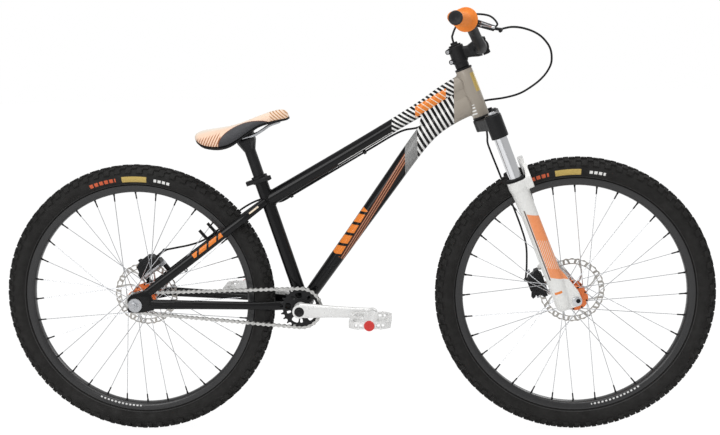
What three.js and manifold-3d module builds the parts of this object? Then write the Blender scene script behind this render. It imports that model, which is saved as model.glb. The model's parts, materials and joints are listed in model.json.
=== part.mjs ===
import * as THREE from "three";
import { mergeVertices } from "three/addons/utils/BufferGeometryUtils.js";
import Module from "manifold-3d";

// Dirt jump bicycle: hardtail frame, short-travel fork, single-speed chain drive, cable disc brakes.
// Millimetres. X points forward, Y to the rider's left, Z up.
// The origin lies on the ground, midway between the two axles.

const wasm = await Module();
wasm.setup();

// Clearances and cutter sizes

const fitGap = 0.3;
const cutOverrun = 6;
const weldTolerance = 0.0005;

// Wheels

const wheelbase = 1064.6;
const wheelSegments = 32;
const spokeCount = 32;
const tyre = { height: 55.7, halfWidth: 29, seatDepth: 5.7 };
// Rows of [share of the height from bead to tread, share of the half width], outside then inside.
const tyreOuterShares = [[0, 0.26], [0.5, 1], [0.87, 0.84], [1, 0.26]];
const tyreInnerShares = [[0, 0.1], [0.62, 0.8]];
const rim = { outerRadius: 286, depth: 18, halfWidth: 15, wall: 2.8 };
const rimFloorShare = 0.53;
const spokeRadius = 1.15;
const spokeCrossDegrees = 67.5;
const nippleHoopThickness = 1.2;
const hubFlange = { radius: 29.5, thickness: 3.6 };
const hubBarrelRadius = 14;
const hubSegments = 10;
const rotor = { radius: 80, track: 15, thickness: 2, wave: 1.6, carrierRadius: 24, boreRadius: 17 };
const rotorWaveCount = 8;
const rotorPointsPerWave = 4;
const rotorWindowCount = 8;
const rotorWindowFillShare = 0.62;

// Rear wheel and drive line across the bike

const rearHub = { rightFlange: -29, leftFlange: 35, rotorPlane: 50, rightEnd: -38, leftEnd: 61.5 };
const rearAxle = { radius: 5, nutRadius: 9.5, nutHeight: 6.5, nutProud: 3.4, spacerRadius: 9 };
const rearAxleBoreRadius = 7.5;
const dropoutInner = 65;
const dropoutThickness = 6;
const boltSides = 6;
const postSides = 8;

// Front wheel across the bike

const frontHub = { rightFlange: -34, leftFlange: 22, rotorPlane: 46, rightEnd: -53.5, leftEnd: 53.5 };
const frontAxle = { radius: 7.5, capRadius: 11.5, capHeight: 4.4 };
const axleSides = 10;

// Drive

const chainPitch = 12.7;
const tyreToBottomBracket = 69.6;
const chainringTeeth = 24;
const cogTeeth = 12;
const chainLine = -48;
const rollerRadius = 3.9;
const rollerSides = 4;
const chainPlate = { halfHeight: 4.2, thickness: 1.9, seat: 0.4 };
const chainInnerGap = 3.7;
const toothThickness = 2.8;
const toothHeight = 3.6;
const toothRootShare = 0.56;
const bottomBracketDrop = 16;
const chainring = { hubRadius: 21, hubHeight: 2.3, windowInner: 25, windowOuter: 39 };
const chainringWindowCount = 5;
const chainringWindowFillShare = 0.6;
const freewheel = { bodyRadius: 17, boreRadius: 10.4, rightEnd: -59 };
const spindle = { radius: 11.7, boltRadius: 8.4, boltProud: 2.2 };
const crank = {
  length: 175, bossRadius: 19.5, bossInner: 52.5, bossOuter: 88, eyeRadius: 13, inner: 73, outer: 89, flare: 3,
};
const crankDropDegrees = 1.6;
const crankWaistShare = 0.66;
const crankSides = 12;
const pedal = {
  length: 96, width: 98, thickness: 17, inner: 100, corner: 14, cage: 9, housingRadius: 11.6,
  axleRadius: 6.4, collarRadius: 8.6, collarWidth: 4, capRadius: 12.6, capWidth: 3,
};

// Frame

const bottomBracket = {
  shellRadius: 20.5, halfWidth: 36.5, cupRadius: 21.5, cupWidth: 8.4, threadRadius: 17.4, sleeveWall: 1.6,
};
const seatTubeDegrees = 73;
const seatTube = { radius: 15.9, top: 331, boreRadius: 13.9, boreFrom: 90, topTubeJoint: 272, stayJoint: 271 };
const tubeSides = 12;
const staySides = 10;
const roundSegments = 12;
const topTube = { depth: 34, width: 31, headJoint: 90 };
// Rows of [share along, rise share of the length, outward share of the length, depth share, width share].
const topTubeShares = [
  [0.006, -0.004, 0, 1.06, 1], [0.2, -0.005, 0, 1.01, 1], [0.42, -0.005, 0, 0.95, 0.97],
  [0.64, -0.004, 0, 0.93, 0.95], [0.78, -0.003, 0, 1.03, 0.98], [0.89, 0.002, 0, 1.16, 1],
  [0.99, 0.002, 0, 1.15, 1],
];
const downTube = { depth: 44, width: 36, headJoint: 35, endSetback: 12 };
const downTubeShares = [
  [0.015, 0, 0, 0.72, 1.08], [0.334, 0.024, 0, 0.82, 1], [0.549, 0.041, 0, 0.91, 0.98],
  [0.746, 0.056, 0, 1, 0.95], [0.844, 0.055, 0, 1.13, 0.92], [0.927, 0.035, 0, 1.24, 0.9],
  [1, 0.004, 0, 1.3, 0.88],
];
const chainStay = { depth: 17, width: 15, rootOffset: 24 };
const chainStayShares = [
  [0.02, 0, 0, 1.24, 1.2], [0.106, 0, 0.006, 1.22, 0.98], [0.181, 0, 0.017, 1.22, 0.7],
  [0.287, 0, 0.015, 1.06, 0.9],
  [0.483, 0, 0.013, 1, 1], [0.687, 0, 0.008, 1, 1], [0.9, 0, 0.001, 1.06, 0.92], [1, 0, 0, 1.06, 0.62],
];
const seatStay = { depth: 21, width: 14, rootOffset: 13 };
const seatStayShares = [
  [0.01, 0, 0, 0.88, 1.1], [0.06, 0, 0.012, 0.9, 1.1], [0.119, 0, 0.03, 0.92, 1],
  [0.196, 0, 0.043, 0.95, 0.9],
  [0.356, 0, 0.034, 1, 0.93], [0.573, 0, 0.019, 1.06, 1], [0.82, 0, 0.005, 1.06, 0.92], [1, 0, 0, 1, 0.64],
];
const dropout = { reach: 48, jaw: 18, rise: 30, tail: 16, slotHalfHeight: 5.4, slotDepth: 8, stayHeight: 26 };
// Rows of [share of the reach forward, share of the rise], walked round the plate from the upper jaw.
const dropoutUpperShares = [[-0.33, 0.5], [-0.12, 0.86], [0.3, 1.02], [0.62, 1.32], [0.9, 0.72], [1, 0.3]];
const dropoutLowerShares = [[1, -0.42], [0.62, -0.54], [0.25, -0.64], [-0.29, -0.6], [-0.36, -0.34]];
const discPad = { radius: 6.4, plane: 62, length: 14, stayLength: 28 };
const cableLoop = { radius: 5.2, boreRadius: 3.2, length: 7, sink: 4.8, staySink: 3.8, sides: 6 };
const topTubeLoopShares = [0.1, 0.47];
const stayLoopShare = 0.46;
const stayEyelet = { alongShare: 0.71, radius: 4.6, boreRadius: 2.2, length: 4 };
const seatClamp = {
  bottom: 316, height: 17, radius: 19.6, earLength: 16, earHalfWidth: 9, slot: 3, boltRadius: 3.4,
};
const seatClampEar = { bottom: 317.5, height: 11, boltInset: 6.5 };
const seatLever = { length: 60, rootHeight: 9, thickness: 5, offset: 15.4, bow: 9 };
const seatLeverEdgeShare = 0.8;
// Rows of [share of the length from the cam pin, share of the bow, height share, thickness share].
const seatLeverShares = [
  [-0.04, 0, 0.7, 0.44], [0, 0, 0.75, 1], [0.33, 0.5, 0.9, 1], [0.64, 1, 1.2, 1], [0.87, 0.95, 1.4, 1],
  [1, 0.75, 1.1, 1],
];

// Head and steering. Steering sizes are measured along the steering axis from the foot of the head tube.

const headAngleDegrees = 70;
const headTube = { length: 116, radius: 20, boreRadius: 17.2 };
const headsetCup = { radius: 20.6, height: 4.6, sleeve: 9, lowerHeight: 5.6 };
const steerer = { radius: 14.2, boreRadius: 10.6, top: 173.5, sides: 12 };
const forkOffset = 23.5;
const legSpacing = 130;
const crown = { bottom: 34, top: 6.2, collarBottom: 58, collarTop: 3, collarRadius: 20.5, bossRadius: 23 };
const crownWaistShare = 0.62;
const crownArc = { collarFromDegrees: -20, collarToDegrees: 150, bossFromDegrees: 140, bossToDegrees: 220 };
const collarSteps = 5;
const bossSteps = 3;
const stanchion = {
  radius: 15, sides: 12, bottom: 292, capRadius: 16.4, capHeight: 2.6, knobRadius: 7.5, knobHeight: 7,
};
const dustSeal = { radius: 24.2, height: 7, lipRadius: 18.5 };
const legTop = 165;
const leg = { boreRoom: 18, radius: 20, belowAxle: 10.8, sides: 10 };
// Rows of [share of the way down the leg, forward, depth and width shares of the radius].
const legShares = [
  [0, 0, 1.2, 1.2], [0.06, 0, 1.2, 1.2], [0.1, 0, 1.07, 1.07], [0.3, 0.04, 0.99, 0.99], [0.65, 0.1, 1.02, 0.98],
  [0.76, 0.12, 1.02, 0.8], [0.88, 0.02, 0.9, 0.78], [0.96, -0.04, 0.86, 0.72], [1, -0.1, 0.55, 0.5],
];
const axleAhead = 57;
const crownToTyre = 150.2;
const forkLug = { thickness: 14, inner: 54, radius: 12.6, topRise: 84, footRadius: 11 };
// Rows of [share of the lug's radius ahead of the axle, share above it].
const forkLugShares = [[0.9, 1.7], [1, 0], [0.7, -0.7], [0, -1]];
const arch = { top: 126, crownThickness: 17, depth: 14, front: 58, shoulder: 46, foot: 192, footWidth: 34 };
const archKneeShare = 0.33;
const archPitShare = 0.25;
const discPost = { radius: 6.8, upperRise: 79.2, lowerRise: 11.2, plane: 55.6, rear: 1.6 };
const forkTravel = 80;
const stem = {
  clampBottom: 134.3, clampTop: 174.6, clampRadius: 18.6, reach: 53.5, barHeight: 151.4, barClampRadius: 21,
  barClampHalfWidth: 22, neckHalfWidth: 13, neckHalfHeight: 14, faceGap: 2.4, slot: 1.6,
};
const stemBolt = { headRadius: 4.6, bossRadius: 5.75, steererBack: 21 };
const stemBoltShares = [0.2, 0.82];
const stemBossShare = 0.7;
const stemFlareShare = 0.94;
const faceBolt = { spreadY: 15, spreadZ: 15.5 };
const stemNeck = { bottom: 121.4, radius: 16.4 };
const stemCap = { radius: 14.7, height: 3.4, plugRadius: 8.5, plugHeight: 5.6, boreRadius: 3 };
const bar = {
  clampRadius: 15.9, gripRadius: 11.1, halfWidth: 336, straight: 121, rise: 85.6, sweep: 31.5, sides: 12,
};
// Rows of [share of the way out to the straight end, backward share of the sweep, rise share,
// share of the way from the grip's to the clamp's radius].
const barShares = [
  [0.1406, 0, 0, 1], [0.211, -0.02, 0.03, 0.85], [0.3126, -0.03, 0.12, 0.3], [0.4688, 0.04, 0.38, 0],
  [0.6564, 0.1, 0.68, 0], [0.7814, 0.16, 0.79, 0], [1, 0.38, 0.86, 0],
];
const grip = { endGap: 1, length: 122, radius: 15.6, flangeRadius: 26.6, flangeWidth: 4.5, sides: 10 };
const gripRibCount = 2;
const gripRibShare = 0.9;
const gripRibLengthShare = 0.06;
const endPlug = { radius: 15, thickness: 3.8 };
const perch = {
  inboard: 23, clampRadius: 15.8, halfWidth: 7, reach: 44, drop: 38, thickness: 9, barrelRadius: 4, cableGap: 2.4,
};
const perchStartShare = 0.33;
const perchNoseShare = 0.8;
const leverPivot = { ahead: 24, down: 18, outboard: 12 };
const leverSwingDegrees = 22;
const leverClearance = 1;
const leverGapShares = [0, 0.25, 0.5, 0.75, 1];
const lever = { length: 93, thickness: 7.4, rootHeight: 12, tipReach: 23, tipHook: 3.5 };
// Rows of [share of the length outward, share of the reach forward, size share].
const leverShares = [
  [0, 0, 1], [0.16, 0.3, 1], [0.4, 0.62, 0.8], [0.7, 0.84, 0.66], [0.93, 1, 0.62], [1, 0.84, 0.8],
];

// Seat

const seatPost = { radius: 13.6, bottom: 196, headFrom: 402, neckOverlap: 6, headHalfWidth: 27, sides: 12 };
const saddleTiltDegrees = 14;
const railClampAlong = 432;
const rail = { radius: 3.5, spacing: 44, sides: 6, steps: 26 };
// Rows of [share of the saddle's length, share of half the spacing, share of its height under the belly].
const railShares = [
  [-0.37, 1, 0.36], [-0.33, 1, 0.28], [-0.24, 1, 0.14], [-0.15, 1, 0], [0, 1, 0], [0.11, 1, 0],
  [0.19, 0.8, 0.24], [0.28, 0.5, 0.38], [0.36, 0.34, 0.42], [0.385, 0.12, 0.42],
];
const clampPlate = { thickness: 4.4, boltRadius: 3.4, headHalfLength: 22 };
// A rounded oblong, as shares of its half length and half width
const clampPlateShares = [
  [1, 0.42], [0.6, 1], [-0.6, 1], [-1, 0.42], [-1, -0.42], [-0.6, -1], [0.6, -1], [1, -0.42],
];
const saddle = { length: 230, halfWidth: 72, height: 50, shell: 3 };
// Rows of shares: along the length, half width, crown height, edge height, belly height.
const saddleShares = [
  [-0.491, 0.42, 0.74, 0.58, 0.62], [-0.465, 0.66, 0.83, 0.42, 0.56], [-0.391, 0.89, 0.83, 0.12, 0.44],
  [-0.252, 1, 0.76, -0.12, 0.36], [-0.13, 0.97, 0.71, -0.14, 0.33], [-0.022, 0.78, 0.72, 0.02, 0.33],
  [0.087, 0.56, 0.76, 0.24, 0.36], [0.196, 0.4, 0.82, 0.38, 0.42], [0.326, 0.31, 0.86, 0.4, 0.44],
  [0.435, 0.25, 0.84, 0.36, 0.4], [0.487, 0.17, 0.72, 0.35, 0.4], [0.504, 0.07, 0.55, 0.4, 0.44],
];
// Rows of [share of the half width, share of the way from edge to crown], right edge to left edge.
const crownShares = [
  [-0.97, 0.28], [-0.9, 0.62], [-0.72, 0.86], [-0.42, 0.99], [0, 1], [0.42, 0.99], [0.72, 0.86], [0.9, 0.62],
  [0.97, 0.28],
];
const bellyShares = [[0.93, 0.02], [0.6, 0.72], [0, 1], [-0.6, 0.72], [-0.93, 0.02]];

// Brakes

const caliper = { slot: 4.6, halfThickness: 15, knobRadius: 12, knobHeight: 4, armThickness: 4 };
const rotorRoom = 3;
// Outlines as shares of the caliper's length and depth, from the centre of its body.
const caliperSize = { length: 70, depth: 36 };
const caliperShares = [
  [-0.5, -0.5], [-0.36, -0.5], [-0.3, -0.62], [0.3, -0.62], [0.36, -0.5], [0.5, -0.5],
  [0.5, -0.2], [0.4, -0.08], [0.34, 0.32], [0.12, 0.5], [-0.2, 0.5], [-0.36, 0.3], [-0.42, -0.1], [-0.5, -0.2],
];
const frontCaliper = { ahead: -20, aboveAxle: 45.2, anchorAhead: -37, anchorAboveAxle: 12.2 };
const rearCaliper = { ahead: 8, above: 76, anchorBack: 17, anchorAbove: 81 };
const caliperArm = { pivotRadius: 8, tipRadius: 5.4 };
const caliperStop = { radius: 4.2, height: 9, strutRadius: 3.4 };
const caliperBracket = { thickness: 9, halfWidth: 6 };
const bracketPadShare = 0.42;
const cable = { radius: 2.4, sides: 5, frontSteps: 36, rearSteps: 46 };

// Sections with their corners taken off, as shares of the half sizes
const neckShares = [[-1, -0.7], [-0.7, -1], [0.7, -1], [1, -0.7], [1, 0.7], [0.7, 1], [-0.7, 1], [-1, 0.7]];
const leverSectionShares = [
  [-1, -0.6], [-0.6, -1], [0.6, -1], [1, -0.6], [1, 0.6], [0.6, 1], [-0.6, 1], [-1, 0.6],
];

// The routes of the two brake cables, as placed on the bike.
// Front: steering axes, from the left lever, down through the steerer, to the fork's caliper.
const frontCableRoute = [
  [107, 168, 177], [116, 142, 184], [102, 95, 210], [62, 48, 228], [26, 17, 220], [6, 2, 203], [0, 0, 186],
  [0, 0, 120], [0, 0, 40], [0, 0, -30], [-3, 1, -48], [-8, 12, -92], [-8, 34, -142], [-7, 54, -200],
  [-5, 61, -243], [-5, 63, -300], [-9, 62, -345], [-24, 60, -390], [-38, 58.5, -421],
];
// Rear: bicycle axes, from the right lever, round the head tube, under the top tube, along the left stay.
const rearCableRoute = [
  [352.5, -168, 976.3], [376, -147, 980], [402, -124, 977], [430, -98, 967], [452, -72, 952], [470, -48, 928],
  [475, -28, 900], [470, -12, 880], [457, 2, 860], [436, 14, 841], [405, 24, 822], [368, 30, 812], [323, 33, 806],
  [282, 30, 795], [240, 27.5, 780], [196, 26, 762], [162, 21, 746], [130, 9, 741.5], [100, 0, 729.3], [57, 0, 704.7],
  [0, 0, 672.3], [-100, 0, 615.3], [-147, 0, 588.6], [-158, 1, 581.6], [-176, 10, 573], [-194, 21, 573.5],
  [-210, 26, 579], [-241, 32, 571],
  [-280, 39, 549], [-310, 41, 521], [-329, 42.2, 506.6], [-348, 45.3, 492.4], [-367, 48.5, 478.4], [-391, 53, 466.5],
  [-420, 57.5, 457.5], [-447, 60.5, 452], [-478, 62, 446],
];

// Finishes

const finish = (color, roughness, metalness) => new THREE.MeshStandardMaterial({ color, roughness, metalness });
const frameBlack = () => finish(0x111113, 0.32, 0.35);
const partBlack = () => finish(0x151517, 0.4, 0.3);
const polished = () => finish(0xc9ccd0, 0.25, 0.9);
const satinSilver = () => finish(0xb9bdc2, 0.36, 0.85);
const steel = () => finish(0x8d9196, 0.4, 0.85);
const tyreRubber = () => finish(0x17181a, 0.88, 0);
const softRubber = () => finish(0x1c1c1e, 0.8, 0);
const orangeMetal = () => finish(0xd8692e, 0.35, 0.5);
const orangeRubber = () => finish(0xe0672b, 0.7, 0);
const forkWhite = () => finish(0xf1f1ee, 0.3, 0.1);
const cream = () => finish(0xe6c9a4, 0.75, 0);

// Solids and meshes

const point = (x, y, z) => new THREE.Vector3(x, y, z);
const radians = THREE.MathUtils.degToRad;

function weld(geometry) {
  const bare = geometry.clone();
  for (const name of Object.keys(bare.attributes)) {
    if (name !== "position") bare.deleteAttribute(name);
  }
  return mergeVertices(bare, weldTolerance);
}

function outward(geometry) {
  const mesh = weld(geometry);
  const index = mesh.index;
  const at = mesh.attributes.position;
  const [a, b, c] = [point(0, 0, 0), point(0, 0, 0), point(0, 0, 0)];
  const kept = [];
  let volume = 0;
  for (let i = 0; i < index.count; i += 3) {
    const corners = [index.getX(i), index.getX(i + 1), index.getX(i + 2)];
    if (new Set(corners).size < corners.length) continue;
    a.fromBufferAttribute(at, corners[0]);
    b.fromBufferAttribute(at, corners[1]);
    c.fromBufferAttribute(at, corners[2]);
    volume += a.dot(b.cross(c));
    kept.push(corners);
  }
  mesh.setIndex(kept.flatMap(([i, j, k]) => (volume < 0 ? [i, k, j] : [i, j, k])));
  return mesh;
}

function toSolid(geometry) {
  const mesh = outward(geometry);
  return new wasm.Manifold(new wasm.Mesh({
    numProp: 3,
    vertProperties: Float32Array.from(mesh.attributes.position.array),
    triVerts: Uint32Array.from(mesh.index.array),
  }));
}

function toGeometry(solid) {
  const mesh = solid.getMesh();
  const geometry = new THREE.BufferGeometry();
  geometry.setAttribute("position", new THREE.Float32BufferAttribute(mesh.vertProperties, 3));
  geometry.setIndex(Array.from(mesh.triVerts));
  return geometry;
}

// The radius of a faceted bore that clears a faceted shaft, however the two are turned
const clear = (radius, sides) => (radius + fitGap) / Math.cos(Math.PI / sides);

const join = (first, ...others) => others.reduce((body, other) => body.add(toSolid(other)), toSolid(first));
const cut = (body, ...tools) => tools.reduce((rest, tool) => rest.subtract(toSolid(tool)), body);

function mirrored(geometry) {
  return outward(geometry.clone().scale(1, -1, 1));
}

function polygon(radius, sides, turn = 0) {
  return Array.from({ length: sides }, (_, i) => {
    const angle = turn + (2 * Math.PI * i) / sides;
    return new THREE.Vector2(radius * Math.cos(angle), radius * Math.sin(angle));
  });
}

const outlineOf = (rows) => rows.map(([a, b]) => new THREE.Vector2(a, b));

// A flat piece: its outline lies in two of the axes and it runs from one place to another along the third.
const planes = {
  side: [[1, 0, 0], [0, 0, 1], [0, 1, 0]],
  front: [[0, 1, 0], [0, 0, 1], [1, 0, 0]],
  top: [[1, 0, 0], [0, 1, 0], [0, 0, 1]],
};

function slab(plane, outline, from, to) {
  const block = new THREE.ExtrudeGeometry(new THREE.Shape(outline), { depth: to - from, bevelEnabled: false });
  block.translate(0, 0, from);
  const [across, upward, through] = planes[plane].map((axis) => point(...axis));
  block.applyMatrix4(new THREE.Matrix4().makeBasis(across, upward, through));
  return outward(block);
}

function plate(plane, outline, from, to, holes = []) {
  const body = slab(plane, outline, from, to);
  if (holes.length === 0) return body;
  const cutters = holes.map((hole) => slab(plane, hole, from - cutOverrun, to + cutOverrun));
  return toGeometry(cut(toSolid(body), ...cutters));
}

// A closed ring of profile points turned about the Y axis; a wheel's axle lies along Y.
function turned(profile, segments) {
  return outward(new THREE.LatheGeometry([...outlineOf(profile), new THREE.Vector2(...profile[0])], segments));
}

// The same about the Z axis, for what sits on the steerer, the stanchions and the seat tube.
const turnedUpright = (profile, segments) => turned(profile, segments).rotateX(Math.PI / 2);
const sleeve = (inner, outer, from, to) => [[inner, from], [outer, from], [outer, to], [inner, to]];
const disc = (radius, from, to) => [[0, from], [radius, from], [radius, to], [0, to]];

function rod(from, to, radius, sides, endRadius = radius) {
  const run = to.clone().sub(from);
  const body = new THREE.CylinderGeometry(endRadius, radius, run.length(), sides);
  body.applyQuaternion(new THREE.Quaternion().setFromUnitVectors(point(0, 1, 0), run.clone().normalize()));
  const middle = from.clone().add(to).multiplyScalar(0.5);
  return body.translate(middle.x, middle.y, middle.z);
}

function loft(rings) {
  const size = rings[0].length;
  const corners = rings.flat().flatMap((p) => [p.x, p.y, p.z]);
  const faces = [];
  for (let ring = 0; ring + 1 < rings.length; ring += 1) {
    for (let i = 0; i < size; i += 1) {
      const next = (i + 1) % size;
      const [a, b] = [ring * size + i, ring * size + next];
      faces.push(a, b, b + size, a, b + size, a + size);
    }
  }
  const last = (rings.length - 1) * size;
  for (let i = 1; i + 1 < size; i += 1) {
    faces.push(0, i + 1, i);
    faces.push(last, last + i, last + i + 1);
  }
  const body = new THREE.BufferGeometry();
  body.setAttribute("position", new THREE.Float32BufferAttribute(corners, 3));
  body.setIndex(faces);
  return outward(body);
}

// A tube with an oval section that follows its stations: { at, depth, width } with half sizes.
function ovalTube(stations, sides) {
  return loft(stations.map((station, i) => {
    const ahead = stations[Math.min(i + 1, stations.length - 1)].at;
    const behind = stations[Math.max(i - 1, 0)].at;
    const along = ahead.clone().sub(behind).normalize();
    const sideways = point(0, 1, 0).addScaledVector(along, -along.y).normalize();
    const upward = sideways.clone().cross(along).normalize();
    return polygon(1, sides, Math.PI / sides).map((p) => station.at.clone()
      .addScaledVector(sideways, p.x * station.width)
      .addScaledVector(upward, p.y * station.depth));
  }));
}

// Stations of a frame tube between two points, with a skin of extra size for cutting its neighbours.
function tubeStations(start, end, size, shares, skin = 0) {
  const run = end.clone().sub(start);
  const length = run.length();
  const along = run.clone().normalize();
  const outboard = point(0, Math.sign(end.y - start.y), 0);
  const rise = along.clone().cross(point(0, 1, 0)).normalize();
  if (rise.z < 0) rise.negate();
  return shares.map(([at, riseShare, outShare, depthShare, widthShare]) => ({
    at: start.clone().addScaledVector(run, at)
      .addScaledVector(rise, riseShare * length)
      .addScaledVector(outboard, outShare * length),
    depth: (size.depth / 2) * depthShare + skin,
    width: (size.width / 2) * widthShare + skin,
  }));
}

function cordAlong(route, radius, sides, steps) {
  const path = new THREE.CatmullRomCurve3(route.map((place) => point(...place)), false, "centripetal");
  return new THREE.ExtrudeGeometry(new THREE.Shape(polygon(radius, sides)), { steps, extrudePath: path });
}

const bicycle = new THREE.Group();
bicycle.name = "dirt_jump_bicycle";

function addPart(group, name, shape, material) {
  const geometry = outward(shape instanceof wasm.Manifold ? toGeometry(shape) : shape);
  geometry.computeVertexNormals();
  const mesh = new THREE.Mesh(geometry, material);
  mesh.name = name;
  group.add(mesh);
  return mesh;
}

function addGroup(parent, x, z, tiltDegrees = 0) {
  const group = new THREE.Group();
  group.position.set(x, 0, z);
  group.rotation.y = -radians(tiltDegrees);
  parent.add(group);
  return group;
}

// Where things lie

const rearAxleX = -wheelbase / 2;
const frontAxleX = wheelbase / 2;
const rimInnerRadius = rim.outerRadius - rim.depth;
const beadRadius = rim.outerRadius - tyre.seatDepth;
const tyreRadius = beadRadius + tyre.height;
const axleHeight = tyreRadius;
const pitchRadius = (teeth) => chainPitch / 2 / Math.sin(Math.PI / teeth);
const ringRadius = pitchRadius(chainringTeeth);
const cogRadius = pitchRadius(cogTeeth);

// The chain has a whole, even number of links, which sets how far apart the two sprockets sit.
function linksFor(distance) {
  const lean = Math.asin((ringRadius - cogRadius) / distance);
  const straight = distance * Math.cos(lean);
  const onRing = (chainringTeeth * (Math.PI + 2 * lean)) / (2 * Math.PI);
  const onCog = (cogTeeth * (Math.PI - 2 * lean)) / (2 * Math.PI);
  return { lean, straight, onRing, onCog, total: onRing + onCog + (2 * straight) / chainPitch };
}

const chainLinkCount = 2 * Math.round(linksFor(tyreRadius + tyreToBottomBracket).total / 2);

function sprocketDistance() {
  let distance = tyreRadius + tyreToBottomBracket;
  for (let pass = 0; pass < chainLinkCount; pass += 1) {
    distance += ((chainLinkCount - linksFor(distance).total) * chainPitch) / 2;
  }
  return distance;
}

const driveLength = sprocketDistance();
const bottomBracketX = rearAxleX + Math.sqrt(driveLength ** 2 - bottomBracketDrop ** 2);
const bottomBracketZ = axleHeight - bottomBracketDrop;
const seatTiltDegrees = 90 - seatTubeDegrees;
const steeringTiltDegrees = 90 - headAngleDegrees;

// The fork reaches from the front axle up to the foot of the head tube.
const axleDown = tyreRadius + crownToTyre;
const forkReach = new THREE.Vector2(axleAhead, -axleDown)
  .rotateAround(new THREE.Vector2(0, 0), radians(steeringTiltDegrees));
const headFoot = new THREE.Vector2(frontAxleX, axleHeight).sub(forkReach);

const seatAxes = addGroup(bicycle, bottomBracketX, bottomBracketZ, seatTiltDegrees);
const steering = addGroup(bicycle, headFoot.x, headFoot.y, steeringTiltDegrees);
bicycle.updateMatrixWorld(true);

const onSeatTube = (along, y = 0) => seatAxes.localToWorld(point(0, y, along));
const onHeadTube = (along, back = 0) => steering.localToWorld(point(-back, 0, along));

// Wheels, built about their own axle

function acrossBead(shares) {
  return shares.map(([rise, width]) => [beadRadius + rise * tyre.height, width * tyre.halfWidth]);
}

const bothSides = (profile) => [...profile, ...profile.map(([r, y]) => [r, -y]).reverse()];

function tyreShape() {
  const outside = bothSides(acrossBead(tyreOuterShares));
  const inside = bothSides(acrossBead(tyreInnerShares));
  return turned([...outside, ...inside.reverse()], wheelSegments);
}

function rimShape() {
  const lip = rim.halfWidth - rim.wall;
  const channel = [
    [rim.outerRadius, rim.halfWidth],
    [rim.outerRadius, lip],
    [beadRadius - 2 * fitGap, lip],
  ];
  const back = [[rimInnerRadius, rimFloorShare * rim.halfWidth]];
  return turned([...bothSides(channel), ...bothSides(back).reverse()], wheelSegments);
}

function hubShape(hub, boreRadius) {
  const thickness = hubFlange.thickness;
  const seatRadius = rotor.boreRadius - fitGap;
  const carrierFace = hub.rotorPlane - rotor.thickness / 2 - fitGap;
  return turned([
    [boreRadius, hub.rightEnd],
    [hubBarrelRadius, hub.rightEnd],
    [hubBarrelRadius, hub.rightFlange - thickness],
    [hubFlange.radius, hub.rightFlange - thickness],
    [hubFlange.radius, hub.rightFlange],
    [hubBarrelRadius, hub.rightFlange + thickness],
    [hubBarrelRadius, hub.leftFlange - thickness],
    [hubFlange.radius, hub.leftFlange],
    [hubFlange.radius, hub.leftFlange + thickness],
    [rotor.carrierRadius, hub.leftFlange + 2 * thickness],
    [rotor.carrierRadius, carrierFace],
    [seatRadius, carrierFace],
    [seatRadius, hub.rotorPlane + rotor.thickness],
    [boreRadius + thickness, hub.leftEnd],
    [boreRadius, hub.leftEnd],
  ], hubSegments);
}

// Spokes leave the flange edge along a tangent. Their nipples share a thin hoop inside the rim:
// each spoke grows out of a short segment of the hoop's inner face, so that all are one body.
function spokeShapes(hub) {
  const outer = rimInnerRadius - fitGap;
  const inner = outer - nippleHoopThickness;
  const halfWidth = spokeRadius;
  const corners = [];
  const faces = [];
  const quad = (a, b, c, d) => faces.push(a, b, c, a, c, d);
  const add = (place) => corners.push(place.x, place.y, place.z) / 3 - 1;
  const polar = (radius, angle, y) => point(radius * Math.sin(angle), y, radius * Math.cos(angle));
  const rings = [];
  for (let i = 0; i < spokeCount; i += 1) {
    const rimAngle = (2 * Math.PI * i) / spokeCount;
    for (const angle of [rimAngle - spokeRadius / inner, rimAngle + spokeRadius / inner]) {
      rings.push([[inner, -halfWidth], [inner, halfWidth], [outer, 0]]
        .map(([radius, y]) => add(polar(radius, angle, y))));
    }
  }
  rings.forEach((ring, i) => {
    const next = rings[(i + 1) % rings.length];
    for (let side = 0; side < ring.length; side += 1) {
      const other = (side + 1) % ring.length;
      if (i % 2 === 0 && side === 0) continue;
      quad(ring[side], ring[other], next[other], next[side]);
    }
    if (i % 2 === 1) return;
    const spoke = i / 2;
    const rimAngle = (2 * Math.PI * spoke) / spokeCount;
    const left = spoke % 2 === 0;
    const trailing = spoke % 4 < 2;
    const hubAngle = rimAngle + radians(trailing ? spokeCrossDegrees : -spokeCrossDegrees);
    const flangeY = left
      ? hub.leftFlange + hubFlange.thickness / 2
      : hub.rightFlange - hubFlange.thickness / 2;
    const foot = polar(hubFlange.radius + fitGap + spokeRadius, hubAngle, flangeY);
    const along = polar(inner, rimAngle, 0).sub(foot).normalize();
    const across = point(0, 1, 0).addScaledVector(along, -along.y).normalize();
    const around = across.clone().cross(along);
    const footRing = [[-1, -1], [1, -1], [1, 1], [-1, 1]].map(([y, turn]) => add(foot.clone()
      .addScaledVector(across, y * spokeRadius).addScaledVector(around, turn * spokeRadius)));
    const rimRing = [ring[0], ring[1], next[1], next[0]];
    rimRing.forEach((corner, k) => {
      const after = (k + 1) % rimRing.length;
      quad(corner, rimRing[after], footRing[after], footRing[k]);
    });
    quad(...footRing);
  });
  const body = new THREE.BufferGeometry();
  body.setAttribute("position", new THREE.Float32BufferAttribute(corners, 3));
  body.setIndex(faces);
  return outward(body);
}

// An arc-sided window between two radii, centred on an angle.
function arcWindow(inner, outer, centre, spread, steps) {
  const edge = (radius, from, to) => Array.from({ length: steps + 1 }, (_, i) => {
    const angle = from + ((to - from) * i) / steps;
    return new THREE.Vector2(radius * Math.cos(angle), radius * Math.sin(angle));
  });
  return [...edge(outer, centre - spread, centre + spread), ...edge(inner, centre + spread, centre - spread)];
}

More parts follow.
